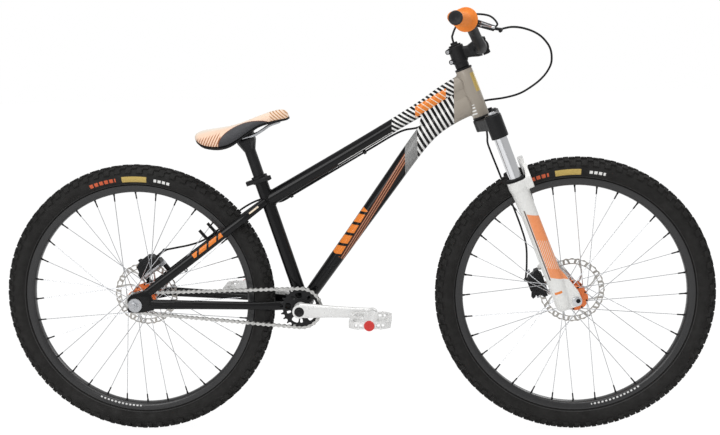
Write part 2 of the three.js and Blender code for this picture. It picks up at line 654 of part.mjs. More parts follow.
function rotorShape(plane) {
  const count = rotorWaveCount * rotorPointsPerWave;
  const edge = Array.from({ length: count }, (_, i) => {
    const angle = (2 * Math.PI * i) / count;
    const radius = rotor.radius - rotor.wave * (1 - Math.cos(rotorWaveCount * angle)) / 2;
    return new THREE.Vector2(radius * Math.cos(angle), radius * Math.sin(angle));
  });
  const windows = Array.from({ length: rotorWindowCount }, (_, i) => {
    const centre = (2 * Math.PI * (i + 0.5)) / rotorWindowCount;
    const spread = (Math.PI / rotorWindowCount) * rotorWindowFillShare;
    return arcWindow(rotor.carrierRadius + rotor.wave, rotor.radius - rotor.track, centre, spread, 1);
  });
  const bore = polygon(rotor.boreRadius, hubSegments, Math.PI / 2);
  return plate("side", edge, plane - rotor.thickness / 2, plane + rotor.thickness / 2, [...windows, bore]);
}

function addWheel(side, x, hub, boreRadius) {
  const wheel = addGroup(bicycle, x, axleHeight);
  addPart(wheel, `${side}_tyre`, tyreShape(), tyreRubber());
  addPart(wheel, `${side}_rim`, rimShape(), partBlack());
  addPart(wheel, `${side}_spokes`, spokeShapes(hub), polished());
  addPart(wheel, `${side}_hub`, hubShape(hub, boreRadius), orangeMetal());
  addPart(wheel, `${side}_rotor`, rotorShape(hub.rotorPlane), satinSilver());
}

addWheel("front", frontAxleX, frontHub, clear(frontAxle.radius, axleSides));
addWheel("rear", rearAxleX, rearHub, rearAxleBoreRadius);

// Chain and sprockets. Rollers are counted along the chain, from where it leaves the chainring at the top.

const wrap = linksFor(driveLength);
const driveSlope = Math.asin(bottomBracketDrop / driveLength);

// Angles are measured in the drive's own axes: from chainring to cog, then upward.
function rollerPlace(count) {
  const upperEnd = wrap.straight / chainPitch;
  const cogEnd = upperEnd + wrap.onCog;
  const lowerEnd = cogEnd + upperEnd;
  const upperAngle = Math.PI / 2 - wrap.lean;
  if (count < upperEnd) {
    return placeOnRun(count * chainPitch, upperAngle, ringRadius, 0, upperAngle - Math.PI / 2);
  }
  if (count < cogEnd) {
    return placeOnArc(upperAngle - ((count - upperEnd) * 2 * Math.PI) / cogTeeth, cogRadius, driveLength);
  }
  if (count < lowerEnd) {
    const angle = -upperAngle;
    return placeOnRun((count - cogEnd) * chainPitch, angle, cogRadius, driveLength, angle - Math.PI / 2);
  }
  return placeOnArc(-upperAngle - ((count - lowerEnd) * 2 * Math.PI) / chainringTeeth, ringRadius, 0);
}

function placeOnArc(angle, radius, centre) {
  return { at: new THREE.Vector2(centre + radius * Math.cos(angle), radius * Math.sin(angle)), angle };
}

function placeOnRun(distance, angle, radius, centre, heading) {
  const start = placeOnArc(angle, radius, centre);
  start.at.add(new THREE.Vector2(distance * Math.cos(heading), distance * Math.sin(heading)));
  return start;
}

// From the drive's axes to the bicycle's, with the chainring's centre as origin.
function toBicycle(place) {
  const [c, s] = [Math.cos(driveSlope), Math.sin(driveSlope)];
  return new THREE.Vector2(-place.x * c + place.y * s, place.x * s + place.y * c);
}

const rollers = Array.from({ length: chainLinkCount }, (_, i) => toBicycle(rollerPlace(i + 0.5).at));

// The plates on each side run on into one band, and a roller bridges the two bands at each pitch.
function chainShape() {
  const { halfHeight, thickness, seat } = chainPlate;
  const edge = (side) => rollers.map((roller, i) => {
    const before = rollers[(i + rollers.length - 1) % rollers.length];
    const after = rollers[(i + 1) % rollers.length];
    return new THREE.Vector2(before.y - after.y, after.x - before.x).setLength(side * halfHeight).add(roller);
  });
  const [one, other] = [edge(1), edge(-1)];
  const half = chainInnerGap / 2;
  const bandBetween = (from, to) => {
    const [solids, cutters] = [[from, to], [from - seat, to + seat]]
      .map((ends) => [one, other].map((outline) => toSolid(slab("side", outline, ...ends))));
    return solids[0].subtract(cutters[1]).add(solids[1].subtract(cutters[0]));
  };
  const bands = [-1, 1].map((side) => {
    const middle = chainLine + (side * (chainInnerGap + thickness)) / 2;
    return bandBetween(middle - thickness / 2, middle + thickness / 2);
  });
  const barrels = rollers.map((roller, i) => {
    const heading = rollers[(i + 1) % rollers.length].clone().sub(roller).angle();
    const corners = polygon(rollerRadius, rollerSides, heading + Math.PI / rollerSides)
      .map((corner) => corner.add(roller));
    return toSolid(slab("side", corners, chainLine - half - seat, chainLine + half + seat));
  });
  return barrels.reduce((body, barrel) => body.add(barrel), bands[0].add(bands[1]));
}

// One tooth to a roller gap: the root lies on a roller's angle, the tip halfway to the next.
function sprocketOutline(teeth, firstAngle) {
  const radius = pitchRadius(teeth);
  const step = (2 * Math.PI) / teeth;
  const root = radius - rollerRadius - fitGap;
  const tip = radius + toothHeight;
  const outline = [];
  for (let tooth = 0; tooth < teeth; tooth += 1) {
    const gap = firstAngle + tooth * step;
    for (const [offset, reach] of [[-toothRootShare / 2, root], [toothRootShare / 2, root], [0.5, tip]]) {
      const angle = gap + offset * step;
      outline.push(new THREE.Vector2(reach * Math.cos(angle), reach * Math.sin(angle)));
    }
  }
  return outline;
}

const ringRoller = rollers[rollers.length - 1];
const cogRoller = rollers.find((roller, i) => i * chainPitch > wrap.straight + chainPitch);
const cogCentre = new THREE.Vector2(rearAxleX - bottomBracketX, bottomBracketDrop);
const cogAngle = cogRoller.clone().sub(cogCentre).angle();

const crankAxes = addGroup(bicycle, bottomBracketX, bottomBracketZ);
addPart(crankAxes, "chain", chainShape(), satinSilver());

function chainringShape() {
  const windows = Array.from({ length: chainringWindowCount }, (_, i) => {
    const centre = (2 * Math.PI * (i + 0.5)) / chainringWindowCount;
    const spread = (Math.PI / chainringWindowCount) * chainringWindowFillShare;
    return arcWindow(chainring.windowInner, chainring.windowOuter, centre, spread, 2);
  });
  const bore = polygon(clear(spindle.radius, crankSides), crankSides);
  const half = toothThickness / 2;
  const blade = plate("side", sprocketOutline(chainringTeeth, ringRoller.angle()),
    chainLine - half, chainLine + half, [...windows, bore]);
  const hub = turned(sleeve(clear(spindle.radius, crankSides), chainring.hubRadius,
    chainLine - half - chainring.hubHeight, chainLine), crankSides).rotateY(Math.PI / 2);
  return join(blade, hub);
}

addPart(crankAxes, "chainring", chainringShape(), partBlack());

const rearAxes = addGroup(bicycle, rearAxleX, axleHeight);

function rearCogShape() {
  const half = toothThickness / 2;
  const bore = polygon(freewheel.boreRadius, axleSides);
  const blade = plate("side", sprocketOutline(cogTeeth, cogAngle), chainLine - half, chainLine + half, [bore]);
  const body = turned(sleeve(freewheel.boreRadius, freewheel.bodyRadius, freewheel.rightEnd,
    rearHub.rightEnd - fitGap), axleSides).rotateY(Math.PI / 2);
  return join(blade, body);
}

addPart(rearAxes, "rear_cog", rearCogShape(), satinSilver());

function rearAxleShape() {
  const outer = dropoutInner + dropoutThickness;
  const end = outer + fitGap + rearAxle.nutHeight + rearAxle.nutProud;
  const shaft = rod(point(0, -end, 0), point(0, end, 0), rearAxle.radius, axleSides);
  const pieces = [shaft];
  for (const side of [-1, 1]) {
    const face = side * (outer + fitGap);
    const back = side * (outer + fitGap + rearAxle.nutHeight);
    pieces.push(rod(point(0, face, 0), point(0, back, 0), rearAxle.nutRadius, boltSides));
    const hubEnd = side < 0 ? freewheel.rightEnd - fitGap : rearHub.leftEnd + fitGap;
    pieces.push(rod(point(0, hubEnd, 0), point(0, side * (dropoutInner - fitGap), 0), rearAxle.spacerRadius,
      axleSides));
  }
  return join(...pieces);
}

addPart(rearAxes, "rear_axle", rearAxleShape(), steel());

// Cranks and pedals, about the bottom bracket

function crankArmShape() {
  const { length, bossRadius, eyeRadius, inner, outer, flare } = crank;
  const boss = turned(disc(bossRadius, crank.bossInner, crank.bossOuter), crankSides);
  const ring = (x, radius, shift) => [
    point(x, inner + shift, -radius), point(x, outer + shift, -radius * crankWaistShare),
    point(x, outer + shift, radius * crankWaistShare), point(x, inner + shift, radius),
  ];
  const blade = loft([ring(0, bossRadius, 0), ring(length, eyeRadius, flare)]);
  const eye = turned(disc(eyeRadius, inner + flare, outer + flare), crankSides).translate(length, 0, 0);
  const axleEnd = pedal.inner + pedal.width - pedal.capWidth;
  const axle = turned(disc(pedal.axleRadius, inner + flare * 2, axleEnd), axleSides).translate(length, 0, 0);
  const collarAt = outer + flare;
  const collar = turned(disc(pedal.collarRadius, collarAt - flare, collarAt + pedal.collarWidth), boltSides)
    .translate(length, 0, 0);
  const bore = turned(disc(clear(spindle.radius, crankSides), 0, outer + cutOverrun), crankSides);
  return toGeometry(cut(join(boss, blade, eye, collar, axle), bore));
}

function crankSpindleShape() {
  const end = crank.outer;
  const shaft = rod(point(0, -end, 0), point(0, end, 0), spindle.radius, crankSides);
  const proud = end + spindle.boltProud;
  const bolt = rod(point(0, -proud, 0), point(0, proud, 0), spindle.boltRadius, boltSides);
  return join(shaft, bolt);
}

const leftArm = crankArmShape().rotateY(radians(180 + crankDropDegrees));
const rightArm = mirrored(crankArmShape().rotateY(radians(crankDropDegrees)));
addPart(crankAxes, "crank_spindle", crankSpindleShape(), steel());
addPart(crankAxes, "crank_arm_right", rightArm, polished());
addPart(crankAxes, "crank_arm_left", leftArm, polished());

function pedalShape() {
  const { length, width, thickness, corner, cage, housingRadius, inner } = pedal;
  const half = length / 2;
  const outer = inner + width;
  const outline = outlineOf([
    [-half + corner, inner], [half - corner, inner], [half, inner + corner], [half, outer - corner],
    [half - corner, outer], [-half + corner, outer], [-half, outer - corner], [-half, inner + corner],
  ]);
  const rib = cage / 2;
  const middle = (inner + outer) / 2;
  const holes = [];
  for (const end of [-1, 1]) {
    for (const [from, to] of [[inner + cage, middle - rib], [middle + rib, outer - cage]]) {
      const [near, far] = [end * (housingRadius + rib), end * (half - cage)];
      const pinch = Math.min(corner, (to - from) / 2) / 2;
      holes.push(outlineOf([[near, from], [far - end * pinch, from], [far, from + pinch], [far, to - pinch],
        [far - end * pinch, to], [near, to]]));
    }
  }
  const body = plate("top", outline, -thickness / 2, thickness / 2, holes);
  const housing = rod(point(0, inner, 0), point(0, outer, 0), housingRadius, axleSides);
  const cap = rod(point(0, outer - pedal.capWidth, 0), point(0, outer + pedal.capWidth, 0), pedal.capRadius,
    axleSides);
  const bore = rod(point(0, inner - cutOverrun, 0), point(0, outer - pedal.capWidth + fitGap, 0),
    clear(pedal.axleRadius, axleSides), axleSides);
  return toGeometry(cut(join(body, housing, cap), bore));
}

const crankReach = point(crank.length, 0, 0).applyAxisAngle(point(0, 1, 0), radians(crankDropDegrees));
addPart(crankAxes, "pedal_right", mirrored(pedalShape()).translate(crankReach.x, 0, crankReach.z), polished());
addPart(crankAxes, "pedal_left", pedalShape().translate(-crankReach.x, 0, -crankReach.z), polished());

// Bottom bracket

addPart(crankAxes, "bottom_bracket_shell", turned(sleeve(bottomBracket.threadRadius, bottomBracket.shellRadius,
  -bottomBracket.halfWidth, bottomBracket.halfWidth), roundSegments), frameBlack());

// The two outboard cups are joined by the sleeve that runs through the shell.
function bottomBracketShape() {
  const { halfWidth, cupWidth, cupRadius, threadRadius } = bottomBracket;
  const bore = clear(spindle.radius, crankSides);
  const inside = threadRadius - 2 * fitGap;
  const [face, root, end] = [halfWidth + fitGap, halfWidth - cupWidth, halfWidth + cupWidth];
  const half = [[bore, end], [cupRadius, end], [cupRadius, face], [inside, face], [inside, root],
    [bore + bottomBracket.sleeveWall, root]];
  return turned([...half, ...half.map(([r, y]) => [r, -y]).reverse()], roundSegments);
}

addPart(crankAxes, "bottom_bracket_bearings", bottomBracketShape(), partBlack());

// Frame tubes, in bicycle axes

const shellCentre = point(bottomBracketX, 0, bottomBracketZ);
const shellCut = turned(disc(bottomBracket.shellRadius + fitGap, -bottomBracket.halfWidth - cutOverrun,
  bottomBracket.halfWidth + cutOverrun), roundSegments).translate(shellCentre.x, 0, shellCentre.z);
const seatTubeCut = rod(onSeatTube(-cutOverrun), onSeatTube(seatTube.top + cutOverrun),
  clear(seatTube.radius, tubeSides), tubeSides);
const headTubeCut = rod(onHeadTube(-cutOverrun), onHeadTube(headTube.length + cutOverrun),
  clear(headTube.radius, roundSegments), roundSegments);

// A brazed-on ring that holds the cable against a tube
function loopAt(at, heading, radius, boreRadius, length) {
  const ringShape = new THREE.Shape(polygon(radius, cableLoop.sides));
  ringShape.holes = [new THREE.Path(polygon(boreRadius, cableLoop.sides))];
  const ring = new THREE.ExtrudeGeometry(ringShape, { depth: length, bevelEnabled: false });
  ring.translate(0, 0, -length / 2);
  ring.applyQuaternion(new THREE.Quaternion().setFromUnitVectors(point(0, 0, 1), heading.clone().normalize()));
  return ring.translate(at.x, at.y, at.z);
}

const seatTubeBody = rod(onSeatTube(0), onSeatTube(seatTube.top), seatTube.radius, tubeSides);
const postBore = rod(onSeatTube(seatTube.boreFrom), onSeatTube(seatTube.top + cutOverrun), seatTube.boreRadius,
  seatPost.sides);
addPart(bicycle, "seat_tube", cut(toSolid(seatTubeBody), shellCut, postBore), frameBlack());

const topTubeEnds = [onSeatTube(seatTube.topTubeJoint), onHeadTube(topTube.headJoint)];
const topTubeRun = topTubeEnds[1].clone().sub(topTubeEnds[0]);
const topTubeLoops = topTubeLoopShares.map((share) => {
  const under = point(topTubeRun.z, 0, -topTubeRun.x).normalize();
  const at = topTubeEnds[0].clone().addScaledVector(topTubeRun, share)
    .addScaledVector(under, topTube.depth / 2 + cableLoop.sink + fitGap);
  return loopAt(at, topTubeRun, cableLoop.radius, cableLoop.boreRadius, cableLoop.length);
});
const topTubeBody = ovalTube(tubeStations(...topTubeEnds, topTube, topTubeShares), tubeSides);
addPart(bicycle, "top_tube", cut(join(topTubeBody, ...topTubeLoops), seatTubeCut, headTubeCut), frameBlack());

const downTubeEnds = [shellCentre, onHeadTube(downTube.headJoint, downTube.endSetback)];
const downTubeBody = ovalTube(tubeStations(...downTubeEnds, downTube, downTubeShares), tubeSides);
const topTubeCut = ovalTube(tubeStations(...topTubeEnds, topTube, topTubeShares, fitGap), tubeSides);
addPart(bicycle, "down_tube", cut(toSolid(downTubeBody), shellCut, seatTubeCut, headTubeCut, topTubeCut),
  frameBlack());

// Dropouts, about the rear axle

const upperEdge = dropoutUpperShares.map(([ahead, above]) => [ahead * dropout.reach, above * dropout.rise]);
const lowerEdge = dropoutLowerShares.map(([ahead, above]) => [ahead * dropout.reach, above * dropout.rise]);

function dropoutPlate(side) {
  const { tail, slotHalfHeight, slotDepth } = dropout;
  const outline = outlineOf([
    [-tail, slotHalfHeight], ...upperEdge, ...lowerEdge, [-tail, -slotHalfHeight],
    [slotDepth / 2, -slotHalfHeight], [slotDepth, 0], [slotDepth / 2, slotHalfHeight],
  ]);
  const [from, to] = [side * dropoutInner, side * (dropoutInner + dropoutThickness)].sort((a, b) => a - b);
  return plate("side", outline, from, to).translate(rearAxleX, 0, axleHeight);
}

// Stays. The chainstays carry the dropout plates; the seatstays end on the plates' sloping upper edge.

const plateMiddle = dropoutInner + dropoutThickness / 2;

function stayEnd(side, ahead, above) {
  return point(rearAxleX + ahead, side * plateMiddle, axleHeight + above);
}

// The sloping edge faces up the seatstay; the stay's foot is a clearance above its middle.
const [slopeTop, slopeFoot] = [new THREE.Vector2(...upperEdge[3]), new THREE.Vector2(...upperEdge[4])];
const stayHeading = new THREE.Vector2(slopeTop.y - slopeFoot.y, slopeFoot.x - slopeTop.x).normalize();
const stayFoot = slopeTop.clone().add(slopeFoot).multiplyScalar(0.5).addScaledVector(stayHeading, 2 * fitGap);

const towardStay = new THREE.Vector2(stayHeading.y, -stayHeading.x);

// The rear caliper lies along the stay; its two pads stand under the bracket's ends.
const rearCaliperAt = new THREE.Vector2(rearCaliper.ahead, rearCaliper.above);
const rearCaliperTurn = THREE.MathUtils.radToDeg(Math.atan2(stayHeading.x, -stayHeading.y));
const bracketDrop = caliperSize.depth / 2 + caliperBracket.thickness;

function padPlace(end) {
  return rearCaliperAt.clone().addScaledVector(stayHeading, end * caliperSize.length * bracketPadShare)
    .add(towardStay.clone().multiplyScalar(bracketDrop + fitGap));
}

function discPadShape(place, length) {
  const foot = place.clone().addScaledVector(towardStay, length);
  const at = (spot) => point(rearAxleX + spot.x, discPad.plane, axleHeight + spot.y);
  return rod(at(place), at(foot), discPad.radius, postSides);
}

function chainStayShape(side) {
  const start = point(bottomBracketX, side * chainStay.rootOffset, bottomBracketZ);
  const end = stayEnd(side, dropout.reach - dropoutThickness, (lowerEdge[0][1] + upperEdge.at(-1)[1]) / 2);
  const tube = ovalTube(tubeStations(start, end, chainStay, chainStayShares), staySides);
  const pieces = [tube, dropoutPlate(side)];
  if (side > 0) pieces.push(discPadShape(padPlace(-1), discPad.length));
  return cut(join(...pieces), shellCut, seatTubeCut);
}

function seatStayShape(side) {
  const start = onSeatTube(seatTube.stayJoint, side * seatStay.rootOffset);
  const end = stayEnd(side, stayFoot.x, stayFoot.y);
  const pieces = [ovalTube(tubeStations(start, end, seatStay, seatStayShares), staySides)];
  const run = end.clone().sub(start);
  const lift = point(-stayHeading.y, 0, stayHeading.x);
  if (side > 0) {
    const at = start.clone().addScaledVector(run, stayLoopShare)
      .addScaledVector(lift, seatStay.depth / 2 + cableLoop.staySink).add(point(0, seatStay.width / 2, 0));
    pieces.push(loopAt(at, run, cableLoop.radius, cableLoop.boreRadius, cableLoop.length));
    pieces.push(discPadShape(padPlace(1), discPad.stayLength));
  } else {
    const at = start.clone().addScaledVector(run, stayEyelet.alongShare)
      .addScaledVector(lift, -seatStay.depth / 2 - stayEyelet.boreRadius);
    pieces.push(loopAt(at, point(0, 1, 0), stayEyelet.radius, stayEyelet.boreRadius, stayEyelet.length));
  }
  return cut(join(...pieces), seatTubeCut);
}

addPart(bicycle, "chainstay_right", chainStayShape(-1), frameBlack());
addPart(bicycle, "chainstay_left", chainStayShape(1), frameBlack());
addPart(bicycle, "seatstay_right", seatStayShape(-1), frameBlack());
addPart(bicycle, "seatstay_left", seatStayShape(1), frameBlack());

// Seat clamp, its lever and the post, along the seat tube

function seatClampShape() {
  const { bottom, height, radius, earLength, earHalfWidth, slot, boltRadius } = seatClamp;
  const ring = turnedUpright(disc(radius, bottom, bottom + height), steerer.sides);
  const back = radius + earLength;
  const ears = plate("top", outlineOf([[-radius / 2, -earHalfWidth], [-radius / 2, earHalfWidth],
    [-back, earHalfWidth], [-back, -earHalfWidth]]), seatClampEar.bottom,
    seatClampEar.bottom + seatClampEar.height);
  const bore = turnedUpright(disc(clear(seatTube.radius, steerer.sides),
    bottom - cutOverrun, bottom + height + cutOverrun), steerer.sides);
  const gap = plate("top", outlineOf([[0, -slot / 2], [0, slot / 2], [-back - cutOverrun, slot / 2],
    [-back - cutOverrun, -slot / 2]]), bottom - cutOverrun, bottom + height + cutOverrun);
  const clampBody = cut(join(ring, ears), bore, gap);
  const boltHeight = seatClampEar.bottom + seatClampEar.height / 2;
  const boltX = -back + seatClampEar.boltInset;
  const reach = earHalfWidth + boltRadius;
  const bolt = rod(point(boltX, -reach, boltHeight), point(boltX, reach, boltHeight), boltRadius, axleSides);
  return clampBody.add(toSolid(bolt));
}

addPart(seatAxes, "seat_clamp", seatClampShape(), partBlack());

function seatLeverShape() {
  const boltX = -(seatClamp.radius + seatClamp.earLength) + seatClampEar.boltInset;
  const middle = seatClampEar.bottom + seatClampEar.height / 2;
  return loft(seatLeverShares.map(([along, bow, heightShare, thickShare]) => {
    const x = boltX + along * seatLever.length;
    const y = -seatLever.offset - bow * seatLever.bow;
    const half = (seatLever.rootHeight / 2) * heightShare;
    const deep = (seatLever.thickness / 2) * thickShare;
    const edge = half * seatLeverEdgeShare;
    return outlineOf([[-deep, -half], [deep, -edge], [deep, edge], [-deep, half]])
      .map((corner) => point(x, y + corner.x, middle + corner.y));
  }));
}

addPart(seatAxes, "seat_clamp_lever", seatLeverShape(), partBlack());

const saddleAt = onSeatTube(railClampAlong);
const saddleAxes = addGroup(bicycle, saddleAt.x, saddleAt.z, saddleTiltDegrees);
bicycle.updateMatrixWorld(true);

function seatPostShape() {
  const shaft = rod(onSeatTube(seatPost.bottom), onSeatTube(seatPost.headFrom), seatPost.radius, seatPost.sides);
  const seatFromSaddle = (x, y, z) => saddleAxes.localToWorld(point(x, y, z));
  const top = -rail.radius - fitGap;
  const half = clampPlate.headHalfLength;
  const wide = seatPost.headHalfWidth;
  const neckSides = clampPlateShares.length;
  const neck = polygon(seatPost.radius, neckSides, Math.PI / neckSides)
    .map((corner) => seatAxes.localToWorld(point(corner.x, corner.y, seatPost.headFrom - seatPost.neckOverlap)));
  const oblong = (z) => clampPlateShares.map(([a, b]) => seatFromSaddle(a * half, b * wide, z));
  const head = loft([neck, oblong(top - 2 * rail.radius), oblong(top)]);
  const lid = -top + clampPlate.thickness;
  const clampLid = loft([oblong(-top), oblong(lid)]);
  const bolt = (x) => rod(seatFromSaddle(x, 0, top - 2 * rail.radius), seatFromSaddle(x, 0, lid + rail.radius),
    clampPlate.boltRadius, postSides);
  const boltAt = half - 2 * clampPlate.boltRadius;
  return join(shaft, head, clampLid, bolt(boltAt), bolt(-boltAt));
}

addPart(bicycle, "seatpost", seatPostShape(), partBlack());

// Saddle, about the middle of its rails

function saddleRings(top, bottom) {
  return saddleShares.map(([along, wide, crownShare, edge, belly]) => {
    const x = along * saddle.length;
    const half = wide * saddle.halfWidth;
    const [crownZ, edgeZ, bellyZ] = [crownShare, edge, belly].map((share) => share * saddle.height);
    return [...top(half, crownZ, edgeZ, bellyZ), ...bottom(half, crownZ, edgeZ, bellyZ)]
      .map(([y, z]) => point(x, y, z));
  });
}

const overCrown = (half, crownZ, edgeZ) => crownShares
  .map(([y, rise]) => [y * half, edgeZ + rise * (crownZ - edgeZ)]);
const underBelly = (drop) => (half, crownZ, edgeZ, bellyZ) => bellyShares
  .map(([y, rise]) => [y * half, edgeZ + rise * (bellyZ - edgeZ) - drop]);
const shellBottom = (...sizes) => underBelly(saddle.shell)(...sizes).reverse();

addPart(saddleAxes, "saddle_cushion", loft(saddleRings(overCrown, underBelly(0))), cream());
addPart(saddleAxes, "saddle_base", loft(saddleRings(underBelly(fitGap), shellBottom)), partBlack());

// One bent rod: from the left rear socket, forward, round inside the nose and back on the right.
function railShape() {
  const under = (share) => share * saddle.height - saddle.shell - rail.radius - 2 * fitGap;
  const leftSide = railShares.map(([along, out, belly]) => [
    along * saddle.length, (out * rail.spacing) / 2, belly === 0 ? 0 : under(belly),
  ]);
  const rightSide = leftSide.map(([x, y, z]) => [x, -y, z]).reverse();
  return cordAlong([...leftSide, ...rightSide], rail.radius, rail.sides, rail.steps);
}

addPart(saddleAxes, "saddle_rails", railShape(), satinSilver());

// Head tube and headset, along the steering axis

addPart(steering, "head_tube", turnedUpright(sleeve(headTube.boreRadius, headTube.radius, 0, headTube.length),
  roundSegments), frameBlack());

function headsetCupShape(face, sleeveEnd, end) {
  const inside = headTube.boreRadius - fitGap;
  const bore = clear(steerer.radius, steerer.sides);
  return turnedUpright([
    [bore, sleeveEnd], [inside, sleeveEnd], [inside, face], [headsetCup.radius, face], [headsetCup.radius, end],
    [bore, end],
  ], steerer.sides);
}

addPart(steering, "headset_cup_lower", headsetCupShape(-fitGap, headsetCup.sleeve, -headsetCup.lowerHeight),
  partBlack());
addPart(steering, "headset_cup_upper", headsetCupShape(headTube.length + fitGap,
  headTube.length - headsetCup.sleeve, headTube.length + headsetCup.height), partBlack());

// Fork crown with its steerer

function crownShape() {
  const { bottom, top, collarBottom, collarTop, collarRadius, bossRadius } = crown;
  const half = legSpacing / 2;
  const rows = [];
  const sweep = (cx, cy, radius, from, to, steps) => {
    for (let i = 0; i <= steps; i += 1) {
      const angle = radians(from + ((to - from) * i) / steps);
      rows.push([cx + radius * Math.cos(angle), cy + radius * Math.sin(angle)]);
    }
  };
  const { collarFromDegrees, collarToDegrees, bossFromDegrees, bossToDegrees } = crownArc;
  sweep(forkOffset, half, collarRadius, collarFromDegrees, collarToDegrees, collarSteps);
  sweep(0, 0, bossRadius, bossFromDegrees, bossToDegrees, bossSteps);
  sweep(forkOffset, -half, collarRadius, -collarToDegrees, -collarFromDegrees, collarSteps);
  const waist = bossRadius * crownWaistShare + forkOffset / 2;
  rows.push([waist, -bossRadius / 2], [waist, bossRadius / 2]);
  const bridge = plate("top", outlineOf(rows), -bottom, -top);
  const collars = [-half, half].map((y) => turnedUpright(disc(collarRadius, -collarBottom, -collarTop), steerer.sides)
    .translate(forkOffset, y, 0));
  const steererTube = turnedUpright(disc(steerer.radius, -bottom, steerer.top), steerer.sides);
  const bores = [-half, half].map((y) => turnedUpright(disc(clear(stanchion.radius, stanchion.sides),
    -collarBottom - cutOverrun, cutOverrun), stanchion.sides).translate(forkOffset, y, 0));
  const cableBore = turnedUpright(disc(steerer.boreRadius, -bottom - cutOverrun, steerer.top + cutOverrun),
    axleSides);
  return cut(join(bridge, ...collars, steererTube), ...bores, cableBore);
}

addPart(steering, "fork_crown", crownShape(), partBlack());

function stanchionShape() {
  const { radius, bottom, capRadius, capHeight, knobRadius, knobHeight } = stanchion;
  const seat = -crown.collarTop + fitGap;
  return turnedUpright([[0, -bottom], [radius, -bottom], [radius, seat], [capRadius, seat],
    [capRadius, seat + capHeight], [knobRadius, seat + capHeight], [knobRadius, seat + knobHeight],
    [0, seat + knobHeight]], stanchion.sides);
}

function dustSealShape() {
  const bore = clear(stanchion.radius, stanchion.sides);
  return turnedUpright([
    [bore, -legTop + fitGap], [dustSeal.radius, -legTop + fitGap],
    [dustSeal.radius, -legTop + dustSeal.height / 2], [dustSeal.lipRadius, -legTop + dustSeal.height],
    [bore, -legTop + dustSeal.height],
  ], stanchion.sides);
}

for (const [side, name] of [[-1, "right"], [1, "left"]]) {
  const y = (side * legSpacing) / 2;
  addPart(steering, `stanchion_${name}`, stanchionShape().translate(forkOffset, y, 0), polished());
  addPart(steering, `dust_seal_${name}`, dustSealShape().translate(forkOffset, y, 0), softRubber());
}

// Fork lowers: two legs, the arch, the axle lugs and the posts of the disc brake

function legShape(side) {
  const length = axleDown + leg.belowAxle - legTop;
  const rings = legShares.map(([down, forward, deep, wide]) => polygon(leg.radius, leg.sides, Math.PI / leg.sides)
    .map((corner) => point(forkOffset + forward * leg.radius + corner.x * deep,
      (side * legSpacing) / 2 + corner.y * wide, -legTop - down * length)));
  return loft(rings);
}

function lugShape(side) {
  const { thickness, inner, radius, topRise, footRadius } = forkLug;
  const footX = forkOffset - footRadius / 2;
  const outline = outlineOf([
    [footX, -axleDown + topRise + radius],
    [forkOffset + leg.radius, -axleDown + topRise + radius],
    ...forkLugShares.map(([ahead, above]) => [axleAhead + ahead * radius, -axleDown + above * radius]),
    [footX, -axleDown - radius],
  ]);
  const [from, to] = [side * inner, side * (inner + thickness)].sort((a, b) => a - b);
  return plate("side", outline, from, to);
}

function archShape() {
  const { top, crownThickness, depth, front, shoulder, foot, footWidth } = arch;
  const outer = legSpacing / 2 + footWidth / 2;
  const inner = legSpacing / 2 - footWidth / 2;
  const kneeOuter = shoulder + footWidth * archKneeShare;
  const right = [[-outer, -foot], [-outer, -legTop], [-kneeOuter, -top - crownThickness / 2],
    [-shoulder / 2, -top]];
  const left = right.map(([y, z]) => [-y, z]).reverse();
  const under = -top - crownThickness;
  const pit = inner - footWidth * archPitShare;
  const below = [[inner, -foot], [pit, -legTop + crownThickness / 2], [shoulder / 2, under]];
  const belowRight = below.map(([y, z]) => [-y, z]).reverse();
  return plate("front", outlineOf([...right, ...left, ...below, ...belowRight]), front - depth, front);
}

function discPostShape(down) {
  const [from, to] = [forkOffset, -discPost.rear].map((x) => point(x, discPost.plane, -down));
  return rod(from, to, discPost.radius, postSides);
}

function forkLowersShape() {
  const pieces = [];
  for (const side of [-1, 1]) pieces.push(legShape(side), lugShape(side));
  pieces.push(archShape());
  for (const rise of [discPost.upperRise, discPost.lowerRise]) pieces.push(discPostShape(axleDown - rise));
  const onLegs = (shape) => [-1, 1].map((side) => shape().translate(forkOffset, (side * legSpacing) / 2, 0));
  const boreDepth = stanchion.bottom + forkTravel + leg.boreRoom;
  const bores = onLegs(() => turnedUpright(disc(clear(stanchion.radius, stanchion.sides),
    -boreDepth, -legTop + cutOverrun), stanchion.sides));
  const axleBore = rod(point(axleAhead, -legSpacing, -axleDown), point(axleAhead, legSpacing, -axleDown),
    clear(frontAxle.radius, axleSides), axleSides);
  const sealSeats = onLegs(() => turnedUpright(disc(clear(dustSeal.radius, stanchion.sides),
    -legTop, -legTop + dustSeal.height + cutOverrun), stanchion.sides));
  return cut(join(...pieces), ...bores, ...sealSeats, axleBore);
}

addPart(steering, "fork_lowers", forkLowersShape(), forkWhite());

function frontAxleShape() {
  const face = forkLug.inner + forkLug.thickness;
  const at = (y) => point(axleAhead, y, -axleDown);
  const shaft = rod(at(-face - 2 * fitGap), at(face + 2 * fitGap), frontAxle.radius, axleSides);
  const caps = [-1, 1].map((side) => rod(at(side * (face + fitGap)), at(side * (face + frontAxle.capHeight)),
    frontAxle.capRadius, roundSegments));
  return join(shaft, ...caps);
}

addPart(steering, "front_axle", frontAxleShape(), satinSilver());

// Disc brake calipers. Each straddles its rotor in a slot and carries the cable's stop.

